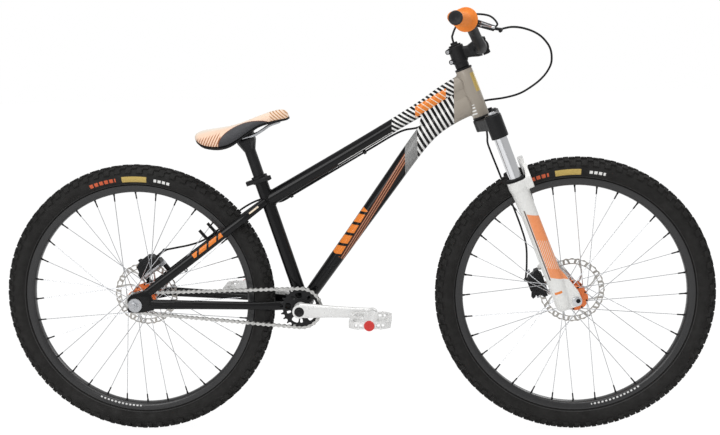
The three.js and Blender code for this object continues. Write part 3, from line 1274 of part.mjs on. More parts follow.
function caliperBody(centre, turnDegrees, rotorPlane, axle) {
  const place = (rows) => rows.map(([a, b]) => new THREE.Vector2(b * caliperSize.depth, a * caliperSize.length)
    .rotateAround(new THREE.Vector2(0, 0), radians(turnDegrees)).add(centre));
  const { halfThickness, slot, knobRadius, knobHeight } = caliper;
  const block = plate("side", place(caliperShares), rotorPlane - halfThickness, rotorPlane + halfThickness);
  const knob = rod(point(centre.x, rotorPlane - halfThickness - knobHeight, centre.y),
    point(centre.x, rotorPlane, centre.y), knobRadius, axleSides);
  const pocket = turned(disc(rotor.radius + rotorRoom, rotorPlane - slot / 2, rotorPlane + slot / 2),
    wheelSegments).translate(axle.x, 0, axle.y);
  return { body: join(block, knob), pocket };
}

// The cable's housing ends against a short barrel, which a strut carries on the caliper.
function stopShape(route, toward, y) {
  const [before, end] = route.slice(-2).map((place) => point(...place));
  const heading = end.clone().sub(before).normalize();
  const start = end.clone().addScaledVector(heading, 2 * fitGap);
  const barrel = rod(start, start.clone().addScaledVector(heading, caliperStop.height), caliperStop.radius,
    postSides);
  const strut = rod(start.clone().addScaledVector(heading, caliperStop.height / 2), point(toward.x, y, toward.y),
    caliperStop.strutRadius, postSides);
  return join(barrel, strut);
}

function caliperArmShape(pivot, tip, y) {
  const run = tip.clone().sub(pivot);
  const across = new THREE.Vector2(-run.y, run.x).normalize();
  const [rootHalf, tipHalf] = [caliperArm.pivotRadius, caliperArm.tipRadius];
  const outline = [
    pivot.clone().addScaledVector(across, rootHalf), pivot.clone().addScaledVector(run, -rootHalf / run.length()),
    pivot.clone().addScaledVector(across, -rootHalf), tip.clone().addScaledVector(across, -tipHalf),
    tip.clone().addScaledVector(run, tipHalf / run.length()), tip.clone().addScaledVector(across, tipHalf),
  ];
  return plate("side", outline, y, y + caliper.armThickness);
}

const frontCaliperAt = new THREE.Vector2(frontCaliper.ahead, frontCaliper.aboveAxle - axleDown);
const frontAnchorAt = new THREE.Vector2(frontCaliper.anchorAhead, frontCaliper.anchorAboveAxle - axleDown);
const frontWheelAt = new THREE.Vector2(axleAhead, -axleDown);
const armPlane = (rotorPlane) => rotorPlane + caliper.halfThickness + fitGap;
const front = caliperBody(frontCaliperAt, 180, frontHub.rotorPlane, frontWheelAt);
const frontStop = stopShape(frontCableRoute, frontCaliperAt, frontHub.rotorPlane + caliper.halfThickness / 2);
addPart(steering, "front_brake_caliper", cut(front.body.add(frontStop), front.pocket), partBlack());
addPart(steering, "front_caliper_arm",
  caliperArmShape(frontCaliperAt, frontAnchorAt, armPlane(frontHub.rotorPlane)), partBlack());

const rearAnchorAt = new THREE.Vector2(-rearCaliper.anchorBack, rearCaliper.anchorAbove);
const rear = caliperBody(rearCaliperAt, rearCaliperTurn, rearHub.rotorPlane, new THREE.Vector2(0, 0));
const rearRoute = rearCableRoute.map(([x, y, z]) => [x - rearAxleX, y, z - axleHeight]);
const rearStop = stopShape(rearRoute, rearCaliperAt, rearHub.rotorPlane + caliper.halfThickness / 2);

function bracketShape() {
  const { thickness, halfWidth } = caliperBracket;
  const half = caliperSize.length / 2;
  const depth = caliperSize.depth / 2;
  const [near, far] = [depth - fitGap * 2, depth + thickness];
  const outline = [[-half, near], [half, near], [half, far], [-half, far]].map(([along, down]) => rearCaliperAt.clone()
    .addScaledVector(stayHeading, along).addScaledVector(towardStay, down));
  const plane = discPad.plane;
  return plate("side", outline, plane - halfWidth, plane + halfWidth);
}

addPart(rearAxes, "rear_brake_caliper", cut(rear.body.add(rearStop).add(toSolid(bracketShape())), rear.pocket),
  partBlack());
addPart(rearAxes, "rear_caliper_arm",
  caliperArmShape(rearCaliperAt, rearAnchorAt, armPlane(rearHub.rotorPlane)), partBlack());

// Stem, its faceplate and cap

function barBoreShape() {
  const end = stem.barClampHalfWidth + cutOverrun;
  return rod(point(stem.reach, -end, stem.barHeight), point(stem.reach, end, stem.barHeight),
    clear(bar.clampRadius, bar.sides), bar.sides);
}

function stemShape() {
  const { clampBottom, clampTop, clampRadius, reach, barHeight, barClampRadius, barClampHalfWidth } = stem;
  const collar = turnedUpright([[0, stemNeck.bottom], [stemNeck.radius, stemNeck.bottom],
    [stemNeck.radius, clampBottom], [clampRadius, clampBottom], [clampRadius, clampTop], [0, clampTop]],
  steerer.sides);
  const ring = (x, halfY, halfZ, z) => neckShares.map(([y, up]) => point(x, y * halfY, z + up * halfZ));
  const mid = (clampBottom + clampTop) / 2;
  const neck = loft([
    ring(0, stem.neckHalfWidth, stem.neckHalfHeight, mid),
    ring(reach / 2, stem.neckHalfWidth, stem.neckHalfHeight, barHeight),
    ring(reach - barClampRadius / 2, barClampHalfWidth, barClampRadius * stemFlareShare, barHeight),
    ring(reach, barClampHalfWidth, barClampRadius, barHeight),
  ]);
  const bosses = stemBoltShares.map((share) => {
    const z = clampBottom + share * (clampTop - clampBottom);
    const [from, to] = [-1, 1].map((side) => point(-stemBolt.steererBack, side * clampRadius * stemBossShare, z));
    return rod(from, to, stemBolt.bossRadius, postSides);
  });
  const steererBore = turnedUpright(disc(clear(steerer.radius, steerer.sides),
    stemNeck.bottom - cutOverrun, clampTop + cutOverrun), steerer.sides);
  const back = -2 * clampRadius;
  const slot = plate("top", outlineOf([[0, -stem.slot / 2], [0, stem.slot / 2], [back, stem.slot / 2],
    [back, -stem.slot / 2]]), clampBottom - cutOverrun, clampTop + cutOverrun);
  return cut(join(collar, neck, ...bosses), steererBore, barBoreShape(), slot);
}

addPart(steering, "stem", stemShape(), partBlack());

function faceplateShape() {
  const { reach, barHeight, barClampRadius, barClampHalfWidth, faceGap } = stem;
  const from = reach + faceGap;
  const shell = rod(point(reach, -barClampHalfWidth, barHeight), point(reach, barClampHalfWidth, barHeight),
    barClampRadius, bar.sides);
  const back = plate("side", outlineOf([[-reach, barHeight - reach], [from, barHeight - reach],
    [from, barHeight + reach], [-reach, barHeight + reach]]), -legSpacing, legSpacing);
  const bolts = [];
  for (const y of [-faceBolt.spreadY, faceBolt.spreadY]) {
    for (const z of [barHeight - faceBolt.spreadZ, barHeight + faceBolt.spreadZ]) {
      bolts.push(rod(point(from, y, z), point(reach + barClampRadius, y, z), stemBolt.headRadius, boltSides));
    }
  }
  return cut(join(shell, ...bolts), back, barBoreShape());
}

addPart(steering, "stem_faceplate", faceplateShape(), partBlack());

function stemCapShape() {
  const seat = stem.clampTop + fitGap;
  const { boreRadius, radius, height, plugRadius, plugHeight } = stemCap;
  const lid = seat + height;
  return turnedUpright([[boreRadius, seat], [radius, seat], [radius, lid], [plugRadius, lid],
    [plugRadius, lid + plugHeight], [boreRadius, lid + plugHeight]], steerer.sides);
}

addPart(steering, "stem_cap", stemCapShape(), softRubber());

// Handlebar, grips and controls

const gripOuter = bar.halfWidth - grip.endGap;
const gripInner = gripOuter - grip.length;
const perchOut = gripInner - perch.inboard;

function barStations(skin = 0) {
  const station = (y, back, rise, thick) => ({
    at: point(stem.reach - back * bar.sweep, y, stem.barHeight + rise * bar.rise),
    radius: bar.gripRadius + thick * (bar.clampRadius - bar.gripRadius) + skin,
  });
  const bent = bar.halfWidth - bar.straight;
  const half = (side) => [...barShares.map(([out, ...shares]) => station(side * out * bent, ...shares)),
    station(side * bar.halfWidth, 1, 1, 0)];
  return [...half(-1).reverse(), ...half(1)];
}

// The bar runs across the bike, so its rings are built about Y.
function alongBar(stations, sides) {
  return loft(stations.map((station, i) => {
    const ahead = stations[Math.min(i + 1, stations.length - 1)].at;
    const behind = stations[Math.max(i - 1, 0)].at;
    const along = ahead.clone().sub(behind).normalize();
    const forward = point(1, 0, 0).addScaledVector(along, -along.x).normalize();
    const upward = forward.clone().cross(along).normalize();
    return polygon(station.radius, sides, Math.PI / sides).map((corner) => station.at.clone()
      .addScaledVector(forward, corner.x).addScaledVector(upward, corner.y));
  }));
}

const barLine = barStations();
const barAt = (y) => {
  const next = barLine.findIndex(({ at }) => at.y >= y);
  const upper = next < 0 ? barLine.length - 1 : Math.max(next, 1);
  const [a, b] = [barLine[upper - 1].at, barLine[upper].at];
  return a.clone().lerp(b, (y - a.y) / (b.y - a.y));
};

// The bar ends in its plugs, which close it outside the grips.
function handlebarShape() {
  const plugRings = (side) => {
    const end = barAt(side * bar.halfWidth);
    const axis = end.clone().sub(barAt((side * (gripInner + gripOuter)) / 2)).normalize();
    return [0, endPlug.thickness]
      .map((out) => ({ at: end.clone().addScaledVector(axis, out + fitGap), radius: endPlug.radius }));
  };
  return alongBar([...plugRings(-1).reverse(), ...barLine, ...plugRings(1)], bar.sides);
}

addPart(steering, "handlebar", handlebarShape(), partBlack());

const barCut = alongBar(barStations(fitGap), bar.sides);

// The bar is straight where the grip slides on, so the grip is turned about that line.
function gripShape() {
  const { length, radius, flangeRadius, flangeWidth, sides } = grip;
  const [inner, outer] = [gripInner, gripOuter];
  const bore = clear(bar.gripRadius, sides);
  const usable = length - flangeWidth;
  const neck = inner + flangeWidth;
  const profile = [[bore, inner], [flangeRadius, inner], [flangeRadius, neck], [radius, neck]];
  for (let rib = 1; rib <= gripRibCount; rib += 1) {
    const y = neck + (usable * rib) / (gripRibCount + 1);
    const reach = usable * gripRibLengthShare;
    profile.push([radius, y - reach], [radius * gripRibShare, y], [radius, y + reach]);
  }
  profile.push([radius, outer], [bore, outer]);
  const start = barAt(inner);
  const axis = barAt(outer).sub(start).normalize();
  return turned(profile, sides).translate(0, -inner, 0)
    .applyQuaternion(new THREE.Quaternion().setFromUnitVectors(point(0, 1, 0), axis))
    .translate(start.x, start.y, start.z);
}

addPart(steering, "grip_right", mirrored(gripShape()), orangeRubber());
addPart(steering, "grip_left", gripShape(), orangeRubber());

// Lever perches: a clamp round the bar, a body that reaches forward, and the cable's barrel

const perchAt = barAt(perchOut);
const pivotAt = perchAt.clone().add(point(leverPivot.ahead, leverPivot.outboard, -leverPivot.down));
const leverNormal = point(leverPivot.down, 0, leverPivot.ahead).normalize();
const leverAhead = point(leverPivot.ahead, 0, -leverPivot.down).normalize();

function perchShape() {
  const { halfWidth, clampRadius, reach, drop, thickness, barrelRadius } = perch;
  const clampRing = rod(barAt(perchOut - halfWidth), barAt(perchOut + halfWidth), clampRadius, postSides);
  const nose = perchAt.clone().add(point(reach + thickness / 2, -halfWidth / 2, -drop));
  const root = perchAt.clone().add(point(leverPivot.ahead, 0, -leverPivot.down).multiplyScalar(perchStartShare));
  const body = rod(root, nose, thickness, boltSides, thickness * perchNoseShare);
  const cableStart = point(...frontCableRoute[0]);
  const cableHeading = point(...frontCableRoute[1]).sub(cableStart).normalize();
  const barrel = rod(nose, cableStart.addScaledVector(cableHeading, -perch.cableGap), barrelRadius, boltSides);
  return toGeometry(cut(join(clampRing, body, barrel), barCut, ...leverGapShares.map(leverGap)));
}

function leverOutline(skin) {
  const rings = leverShares.map(([out, ahead, size]) => {
    const at = pivotAt.clone()
      .addScaledVector(point(0, 1, 0), out * lever.length - lever.rootHeight / 2)
      .addScaledVector(leverAhead, ahead * lever.tipReach + (out === 1 ? lever.tipHook : 0));
    const half = (lever.rootHeight / 2) * size + skin;
    const deep = (lever.thickness / 2) * size + skin;
    return leverSectionShares.map(([across, through]) => at.clone()
      .addScaledVector(leverAhead, across * half).addScaledVector(leverNormal, through * deep));
  });
  return loft(rings);
}

// The room the left lever needs at a share of its swing towards the bar
const leverGap = (share) => leverOutline(leverClearance)
  .translate(-pivotAt.x, -pivotAt.y, -pivotAt.z)
  .applyQuaternion(new THREE.Quaternion().setFromAxisAngle(leverNormal, -radians(leverSwingDegrees * share)))
  .translate(pivotAt.x, pivotAt.y, pivotAt.z);

addPart(steering, "brake_perch_right", mirrored(perchShape()), partBlack());
addPart(steering, "brake_perch_left", perchShape(), partBlack());
addPart(steering, "brake_lever_right", mirrored(leverOutline(0)), satinSilver());
addPart(steering, "brake_lever_left", leverOutline(0), satinSilver());

// Brake cables, whole along their routes

const { radius: cableRadius, sides: cableSides } = cable;
addPart(steering, "front_brake_cable", cordAlong(frontCableRoute, cableRadius, cableSides, cable.frontSteps),
  softRubber());
addPart(bicycle, "rear_brake_cable", cordAlong(rearCableRoute, cableRadius, cableSides, cable.rearSteps),
  softRubber());

export default bicycle;
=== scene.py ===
import json
import math

import bmesh
import bpy
from mathutils import Matrix, Vector

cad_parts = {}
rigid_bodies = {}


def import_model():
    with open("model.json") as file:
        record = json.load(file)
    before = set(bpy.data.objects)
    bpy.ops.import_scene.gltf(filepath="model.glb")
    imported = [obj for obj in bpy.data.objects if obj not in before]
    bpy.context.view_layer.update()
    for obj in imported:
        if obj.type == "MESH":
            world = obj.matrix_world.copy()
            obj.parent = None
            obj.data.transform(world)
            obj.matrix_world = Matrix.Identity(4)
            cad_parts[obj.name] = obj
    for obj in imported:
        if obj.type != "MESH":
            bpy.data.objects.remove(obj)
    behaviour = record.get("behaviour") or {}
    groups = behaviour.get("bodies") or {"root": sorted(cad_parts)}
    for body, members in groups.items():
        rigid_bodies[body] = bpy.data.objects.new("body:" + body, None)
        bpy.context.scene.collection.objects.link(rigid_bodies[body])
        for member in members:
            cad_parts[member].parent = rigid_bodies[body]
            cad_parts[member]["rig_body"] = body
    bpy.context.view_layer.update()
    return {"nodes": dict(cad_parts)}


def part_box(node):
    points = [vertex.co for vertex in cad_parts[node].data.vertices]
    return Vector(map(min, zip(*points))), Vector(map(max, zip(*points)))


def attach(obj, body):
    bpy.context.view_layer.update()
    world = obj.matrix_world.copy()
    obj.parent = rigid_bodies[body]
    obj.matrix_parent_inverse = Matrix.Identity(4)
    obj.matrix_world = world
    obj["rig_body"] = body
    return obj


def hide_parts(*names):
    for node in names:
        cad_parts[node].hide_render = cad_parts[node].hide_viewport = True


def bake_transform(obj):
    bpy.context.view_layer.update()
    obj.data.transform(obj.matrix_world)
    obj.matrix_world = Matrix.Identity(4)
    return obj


# Looks of the dirt jump bicycle. Metres: X forward, Y to the rider's left, Z up from the ground.

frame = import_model()
nodes = frame["nodes"]
scene = bpy.context.scene
scene.view_settings.view_transform = "Standard"

# Sizes, as in the bicycle's own drawing

ORIGIN = Vector((0, 0, 0))
X_AXIS, Y_AXIS, Z_AXIS = Vector((1, 0, 0)), Vector((0, 1, 0)), Vector((0, 0, 1))
SIDES = ((-1, "right"), (1, "left"))
WHEEL_RADIUS = 0.336
FRONT_AXLE = Vector((0.5323, 0, 0.336))
REAR_AXLE = Vector((-0.5323, 0, 0.336))
HEAD_FOOT = Vector((0.312447, 0, 0.773384))
STEERING_TILT = math.radians(20)
SEAT_TILT = math.radians(17)
SADDLE_TILT = math.radians(14)
CHAIN_PITCH = 0.0127
CHAIN_LINKS = 82
RING_TEETH = 24
COG_TEETH = 12
CHAIN_LINE = -0.048
AXLE_DROP = 0.016
FORK_AHEAD = 0.0235
LEG_SPACING = 0.13


def pitch_radius(teeth):
    return CHAIN_PITCH / 2 / math.sin(math.pi / teeth)


def chain_wrap(distance):
    """Angles and straight run of a chain round both sprockets, counted in links."""
    lean = math.asin((pitch_radius(RING_TEETH) - pitch_radius(COG_TEETH)) / distance)
    straight = distance * math.cos(lean)
    on_ring = RING_TEETH * (math.pi + 2 * lean) / (2 * math.pi)
    on_cog = COG_TEETH * (math.pi - 2 * lean) / (2 * math.pi)
    return lean, straight, on_cog, on_ring + on_cog + 2 * straight / CHAIN_PITCH


def sprocket_distance():
    """The distance between the sprockets' axles at which the chain's links just go round."""
    distance = CHAIN_PITCH * (CHAIN_LINKS - (RING_TEETH + COG_TEETH) / 2) / 2
    for _ in range(20):
        distance += (CHAIN_LINKS - chain_wrap(distance)[-1]) * CHAIN_PITCH / 2
    return distance


def leaning(origin, tilt):
    """Axes (ahead, left, up) that lean back by tilt about their origin."""
    return Matrix.Translation(origin) @ Matrix.Rotation(-tilt, 4, "Y")


def placer(axes):
    return lambda ahead, left, up: axes @ Vector((ahead, left, up))


DRIVE_LENGTH = sprocket_distance()
BOTTOM_BRACKET = Vector((REAR_AXLE.x + math.sqrt(DRIVE_LENGTH ** 2 - AXLE_DROP ** 2), 0,
                         WHEEL_RADIUS - AXLE_DROP))
STEERING = leaning(HEAD_FOOT, STEERING_TILT)
steering_at = placer(STEERING)
seat_at = placer(leaning(BOTTOM_BRACKET, SEAT_TILT))
SADDLE = leaning(seat_at(0, 0, 0.432), SADDLE_TILT)
saddle_at = placer(SADDLE)
HEAD_AXIS = (steering_at(0, 0, 1) - HEAD_FOOT).normalized()
SEAT_AXIS = (seat_at(0, 0, 1) - BOTTOM_BRACKET).normalized()
AHEAD_AXIS = Vector((HEAD_AXIS.z, 0, -HEAD_AXIS.x))

# Node trees and finishes


class Nodes:
    """A node tree, with short calls that add nodes and links."""

    def __init__(self, tree):
        self.tree = tree

    def feed(self, socket, value):
        if isinstance(value, bpy.types.NodeSocket):
            self.tree.links.new(value, socket)
        else:
            socket.default_value = value

    def add(self, kind, *feeds, **values):
        """A new node: values are its settings or its inputs by name, feeds its inputs in their order."""
        node = self.tree.nodes.new(kind)
        for key, value in values.items():
            if hasattr(node, key):
                setattr(node, key, value)
            else:
                self.feed(node.inputs[key.replace("_", " ")], value)
        for socket, value in zip(node.inputs, feeds):
            self.feed(socket, value)
        return node

    def maths(self, operation, *values):
        return self.add("ShaderNodeMath", *values, operation=operation).outputs[0]


class Finish(Nodes):
    """A material's node tree, with short calls for the patterns painted on it."""

    def __init__(self, name, colour, roughness, metallic=0.0, **sockets):
        self.material = bpy.data.materials.new(name)
        self.material.use_nodes = True
        super().__init__(self.material.node_tree)
        self.shader = self.tree.nodes["Principled BSDF"]
        self.colour = (*colour, 1)
        sockets.update(Base_Color=self.colour, Roughness=roughness, Metallic=metallic)
        for label, value in sockets.items():
            self.shader.inputs[label.replace("_", " ")].default_value = value
        self.place = self.add("ShaderNodeTexCoord").outputs["Object"]

    def measure(self, origin, direction):
        """Distance from a point along a direction, in metres."""
        shift = self.add("ShaderNodeVectorMath", self.place, tuple(origin), operation="SUBTRACT")
        dot = self.add("ShaderNodeVectorMath", shift.outputs[0], tuple(direction), operation="DOT_PRODUCT")
        return dot.outputs["Value"]

    def sum_of_squares(self, a, b):
        return self.maths("ADD", self.maths("MULTIPLY", a, a), self.maths("MULTIPLY", b, b))

    def radius_from(self, centre):
        """Distance from an axle, square to it."""
        return self.maths("SQRT",
                          self.sum_of_squares(self.measure(centre, X_AXIS), self.measure(centre, Z_AXIS)))

    def angle_from(self, centre):
        return self.maths("ARCTAN2", self.measure(centre, Z_AXIS), self.measure(centre, X_AXIS))

    def leant(self, value, other, slope):
        """A distance that grows with another one, so that its stripes lean."""
        return self.maths("ADD", value, self.maths("MULTIPLY", other, slope))

    def beyond(self, value, limit):
        return self.maths("GREATER_THAN", value, limit)

    def between(self, value, low, high, soft=0.0006):
        """1 where value lies between low and high, with a narrow soft edge."""
        up, down = (self.add("ShaderNodeMapRange", Value=value, From_Min=edge - side,
                             From_Max=edge + side).outputs[0]
                    for edge, side in ((low, soft), (high, -soft)))
        return self.maths("MULTIPLY", up, down)

    def both(self, *masks):
        """1 where all the masks are."""
        result = masks[0]
        for mask in masks[1:]:
            result = self.maths("MULTIPLY", result, mask)
        return result

    def stripes(self, value, width, share):
        """1 on a share of each stripe's width."""
        phase = self.maths("FRACT", self.maths("DIVIDE", value, width))
        return self.between(phase, 0.0, share, 0.03)

    def noise(self, scale, detail=3.0):
        return self.add("ShaderNodeTexNoise", Vector=self.place, Scale=scale, Detail=detail).outputs["Fac"]

    def paint(self, colour, *masks):
        """Lays a colour over what is there so far, where all the masks are 1."""
        mix = self.add("ShaderNodeMix", data_type="RGBA", Factor=self.both(*masks), A=self.colour,
                       B=(*colour, 1))
        self.colour = mix.outputs["Result"]
        self.feed(self.shader.inputs["Base Color"], self.colour)
        return self

    def mottle(self, scale, colour, amount=1.0):
        """Slight, uneven change of colour."""
        shaped = self.maths("MULTIPLY", self.maths("SUBTRACT", self.noise(scale), 0.35), 1.6 * amount)
        return self.paint(colour, self.add("ShaderNodeClamp", Value=shaped).outputs[0])

    def vary_roughness(self, scale, low, high):
        rough = self.add("ShaderNodeMapRange", Value=self.noise(scale, 4.0), From_Min=0.3, From_Max=0.7,
                         To_Min=low, To_Max=high)
        self.feed(self.shader.inputs["Roughness"], rough.outputs[0])
        return self

    def bump(self, height, strength, distance):
        node = self.add("ShaderNodeBump", Height=height, Strength=strength, Distance=distance)
        self.feed(self.shader.inputs["Normal"], node.outputs[0])
        return self

    def grain(self, scale, strength, distance):
        return self.bump(self.noise(scale), strength, distance)


BLACK = (0.004, 0.004, 0.0045)
PAINT_ORANGE = (0.80, 0.23, 0.035)
PAINT_CREAM = (0.86, 0.74, 0.58)
PAINT_WHITE = (0.86, 0.86, 0.84)
PAINT_GREY = (0.36, 0.32, 0.27)
GOLD = (0.55, 0.40, 0.12)
BOLT_BLACK = (0.02, 0.02, 0.022)


def gloss_black(name):
    finish = Finish(name, BLACK, 0.2, Specular_IOR_Level=0.16, Coat_Weight=0.2, Coat_Roughness=0.06)
    return finish.vary_roughness(40, 0.16, 0.26)


def satin_black(name):
    finish = Finish(name, (0.008, 0.008, 0.009), 0.36, Specular_IOR_Level=0.28)
    return finish.vary_roughness(90, 0.36, 0.5).grain(900, 0.12, 0.0004)


def silver(name, colour=(0.66, 0.67, 0.69), low=0.24, high=0.4):
    finish = Finish(name, colour, 0.3, 1.0)
    return finish.mottle(30, [0.86 * c for c in colour], 0.5).vary_roughness(70, low, high)


def chromed(name):
    return Finish(name, (0.78, 0.79, 0.81), 0.1, 1.0).vary_roughness(60, 0.07, 0.14)


def rubber(name, colour=(0.011, 0.011, 0.012), grain=700):
    finish = Finish(name, colour, 0.7, Specular_IOR_Level=0.25)
    return finish.vary_roughness(120, 0.6, 0.82).grain(grain, 0.25, 0.0005)


part_black = satin_black("parts_satin_black").material
frame_black = gloss_black("frame_gloss_black").material
bright_silver = silver("parts_polished_silver").material
dull_silver = silver("parts_satin_silver", (0.5, 0.51, 0.53), 0.34, 0.5).material
soft_black = rubber("soft_black_rubber").material
cable_black = rubber("cable_housing_black", (0.009, 0.009, 0.010), 1200).material

# Camera, floor and light

CAMERA_AT = (0.22701, -2.71053, 1.00966)
CAMERA_YAW, CAMERA_PITCH, CAMERA_ROLL = math.radians(4.40), math.radians(9.96), math.radians(-1.57)
CAMERA_LENS = 56.94
WHITE = (1, 1, 1, 1)
FLOOR_HALF, FLOOR_DROP = 12, 0.001


def linked(name, data):
    """A new object in the scene."""
    thing = bpy.data.objects.new(name, data)
    scene.collection.objects.link(thing)
    return thing


def add_camera():
    level = math.cos(CAMERA_PITCH)
    ahead = Vector((-math.sin(CAMERA_YAW) * level, math.cos(CAMERA_YAW) * level, -math.sin(CAMERA_PITCH)))
    right = Vector((math.cos(CAMERA_YAW), math.sin(CAMERA_YAW), 0))
    upward = right.cross(ahead)
    c, s = math.cos(CAMERA_ROLL), math.sin(CAMERA_ROLL)
    turn = Matrix((right * c + upward * s, upward * c - right * s, -ahead)).transposed().to_4x4()
    scene.camera = linked("camera", bpy.data.cameras.new("camera"))
    scene.camera.data.lens = CAMERA_LENS
    scene.camera.data.clip_end = 50
    scene.camera.matrix_world = Matrix.Translation(CAMERA_AT) @ turn


def add_lamp(name, place, target, size, energy):
    data = bpy.data.lights.new(name, "AREA")
    data.shape = "RECTANGLE"
    data.size, data.size_y = size
    data.energy = energy
    look = (Vector(target) - Vector(place)).to_track_quat("-Z", "Y")
    linked(name, data).matrix_world = Matrix.Translation(place) @ look.to_matrix().to_4x4()


def add_world():
    """White to the camera, and softer as a light."""
    world = bpy.data.worlds.new("studio")
    world.use_nodes = True
    world.node_tree.nodes.clear()
    net = Nodes(world.node_tree)
    soft, white = (net.add("ShaderNodeBackground", Color=WHITE, Strength=s).outputs[0] for s in (0.55, 1.0))
    rays = net.add("ShaderNodeLightPath").outputs
    seen = net.maths("MAXIMUM", rays["Is Camera Ray"], rays["Is Transmission Ray"])
    mix = net.add("ShaderNodeMixShader", seen, soft, white)
    net.add("ShaderNodeOutputWorld", mix.outputs[0])
    scene.world = world


def add_floor():
    """A pale floor that the camera sees nearly white, with the bicycle's shadow on it."""
    finish = Finish("studio_floor", (0.86, 0.86, 0.86), 0.9)
    glow = finish.add("ShaderNodeEmission", Strength=1.07)
    share = finish.maths("MULTIPLY", finish.add("ShaderNodeLightPath").outputs["Is Camera Ray"], 0.9)
    mix = finish.add("ShaderNodeMixShader", share, finish.shader.outputs[0], glow.outputs[0])
    finish.feed(finish.tree.nodes["Material Output"].inputs["Surface"], mix.outputs[0])
    mesh = bpy.data.meshes.new("floor")
    corners = [(x * FLOOR_HALF, y * FLOOR_HALF, -FLOOR_DROP) for x, y in ((-1, -1), (1, -1), (1, 1), (-1, 1))]
    mesh.from_pydata(corners, [], [(0, 1, 2, 3)])
    mesh.materials.append(finish.material)
    linked("floor", mesh)


add_camera()
add_world()
add_floor()
add_lamp("overhead_softbox", (0.2, -0.6, 3.2), (0, 0, 0.4), (3.0, 2.2), 48)
add_lamp("front_softbox", (-1.6, -3.2, 1.9), (0, 0, 0.5), (2.0, 1.6), 34)
add_lamp("rear_softbox", (1.8, 2.6, 2.0), (0, 0, 0.5), (2.0, 1.6), 26)

# Pieces


def shade(mesh, angle):
    """Smooth shading, with creases where faces meet more sharply than the angle."""
    mesh.polygons.foreach_set("use_smooth", [True] * len(mesh.polygons))
    mesh.set_sharp_from_angle(angle=math.radians(angle))


def joined(*meshes):
    work = bmesh.new()
    for mesh in meshes:
        work.from_mesh(mesh)
    result = bpy.data.meshes.new("joined")
    work.to_mesh(result)
    work.free()
    for mesh in meshes:
        if not mesh.users:
            bpy.data.meshes.remove(mesh)
    return result


def settled(piece, node, angle, body):
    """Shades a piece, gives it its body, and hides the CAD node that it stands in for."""
    piece.data.name = piece.name
    shade(piece.data, angle)
    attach(piece, body or nodes[node]["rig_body"])
    if node:
        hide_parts(node)
    return piece


def finished(piece, material, node=None, angle=35, body=None, extra=()):
    """Adds small parts to a piece, and gives it its material and all that settled() gives."""
    if extra:
        piece.data = joined(piece.data, *extra)
    piece.data.materials.clear()
    piece.data.materials.append(material)
    return settled(piece, node, angle, body)


def add_piece(name, mesh, material, node=None, angle=35, body=None):
    return finished(linked(name, mesh), material, node, angle, body)


def apply_modifiers(piece):
    """Makes the piece's evaluated shape its own plain mesh."""
    evaluated = piece.evaluated_get(bpy.context.evaluated_depsgraph_get())
    mesh = bpy.data.meshes.new_from_object(evaluated)
    old = piece.data
    piece.modifiers.clear()
    piece.data = mesh
    bpy.data.meshes.remove(old)


def bevelled(piece, width, segments=2, angle=30):
    bevel = piece.modifiers.new("edges", "BEVEL")
    bevel.width = width
    bevel.segments = segments
    bevel.angle_limit = math.radians(angle)
    apply_modifiers(piece)
    return piece


def cut_with(piece, *cutters):
    """Takes the cutters' shapes away from a piece, and leaves it a plain mesh."""
    for cutter in cutters:
        tool = linked("cutter", cutter)
        work = piece.modifiers.new("cut", "BOOLEAN")
        work.operation = "DIFFERENCE"
        work.object = tool
        work.solver = "EXACT"
        apply_modifiers(piece)
        bpy.data.objects.remove(tool)
    return piece


def cad_surface(node, flat_faces_whole):
    """A CAD node's surface as one merged mesh."""
    work = bmesh.new()
    work.from_mesh(nodes[node].data)
    bmesh.ops.remove_doubles(work, verts=work.verts, dist=1e-5)
    if flat_faces_whole:
        bmesh.ops.dissolve_limit(work, angle_limit=math.radians(1.0), verts=work.verts, edges=work.edges)
    mesh = bpy.data.meshes.new(node)
    work.to_mesh(mesh)
    work.free()
    return mesh


def dressed(node, material, edge, angle):
    """The node's own shape with rounded edges and smooth round faces."""
    piece = bevelled(linked(node + "_finish", cad_surface(node, True)), edge, 2, angle)
    return finished(piece, material, node, angle)


def fused(name, meshes, grain, passes, place, cutters, material, node, extra=()):
    """Solids run into one casting: remeshed at the grain, smoothed, put in place, then bored."""
    piece = linked(name, joined(*meshes))
    remesh = piece.modifiers.new("grain", "REMESH")
    remesh.mode = "VOXEL"
    remesh.voxel_size = grain
    soften = piece.modifiers.new("soften", "SMOOTH")
    soften.factor = 0.5
    soften.iterations = passes
    apply_modifiers(piece)
    piece.data.transform(place)
    for cutter in cutters:
        cutter.transform(place)
    cut_with(piece, *cutters)
    return finished(piece, material, node, 40, None, extra)


def cast_from(node, grain, passes, material, extra=(), within=()):
    """The CAD node's own solid, softened like a casting, with other solids run in or added to it."""
    return fused(node + "_casting", [cad_surface(node, False), *within], grain, passes, Matrix.Identity(4),
                 (),
                 material, node, extra)


# Shapes


def round_steps(count):
    """Cosine and sine at even steps round a circle."""
    turns = [2 * math.pi * k / count for k in range(count)]
    return [(math.cos(a), math.sin(a)) for a in turns]


def solid(corners, faces):
    """A mesh without double corners, whose faces look outward."""
    mesh = bpy.data.meshes.new("solid")
    mesh.from_pydata([tuple(c) for c in corners], [], faces)
    work = bmesh.new()
    work.from_mesh(mesh)
    bmesh.ops.remove_doubles(work, verts=work.verts, dist=1e-6)
    bmesh.ops.recalc_face_normals(work, faces=work.faces)
    work.to_mesh(mesh)
    work.free()
    return mesh


def line_mesh(corners, closed=True):
    count = len(corners)
    mesh = bpy.data.meshes.new("line")
    mesh.from_pydata([tuple(c) for c in corners],
                     [(k, (k + 1) % count) for k in range(count if closed else count - 1)], [])
    return mesh


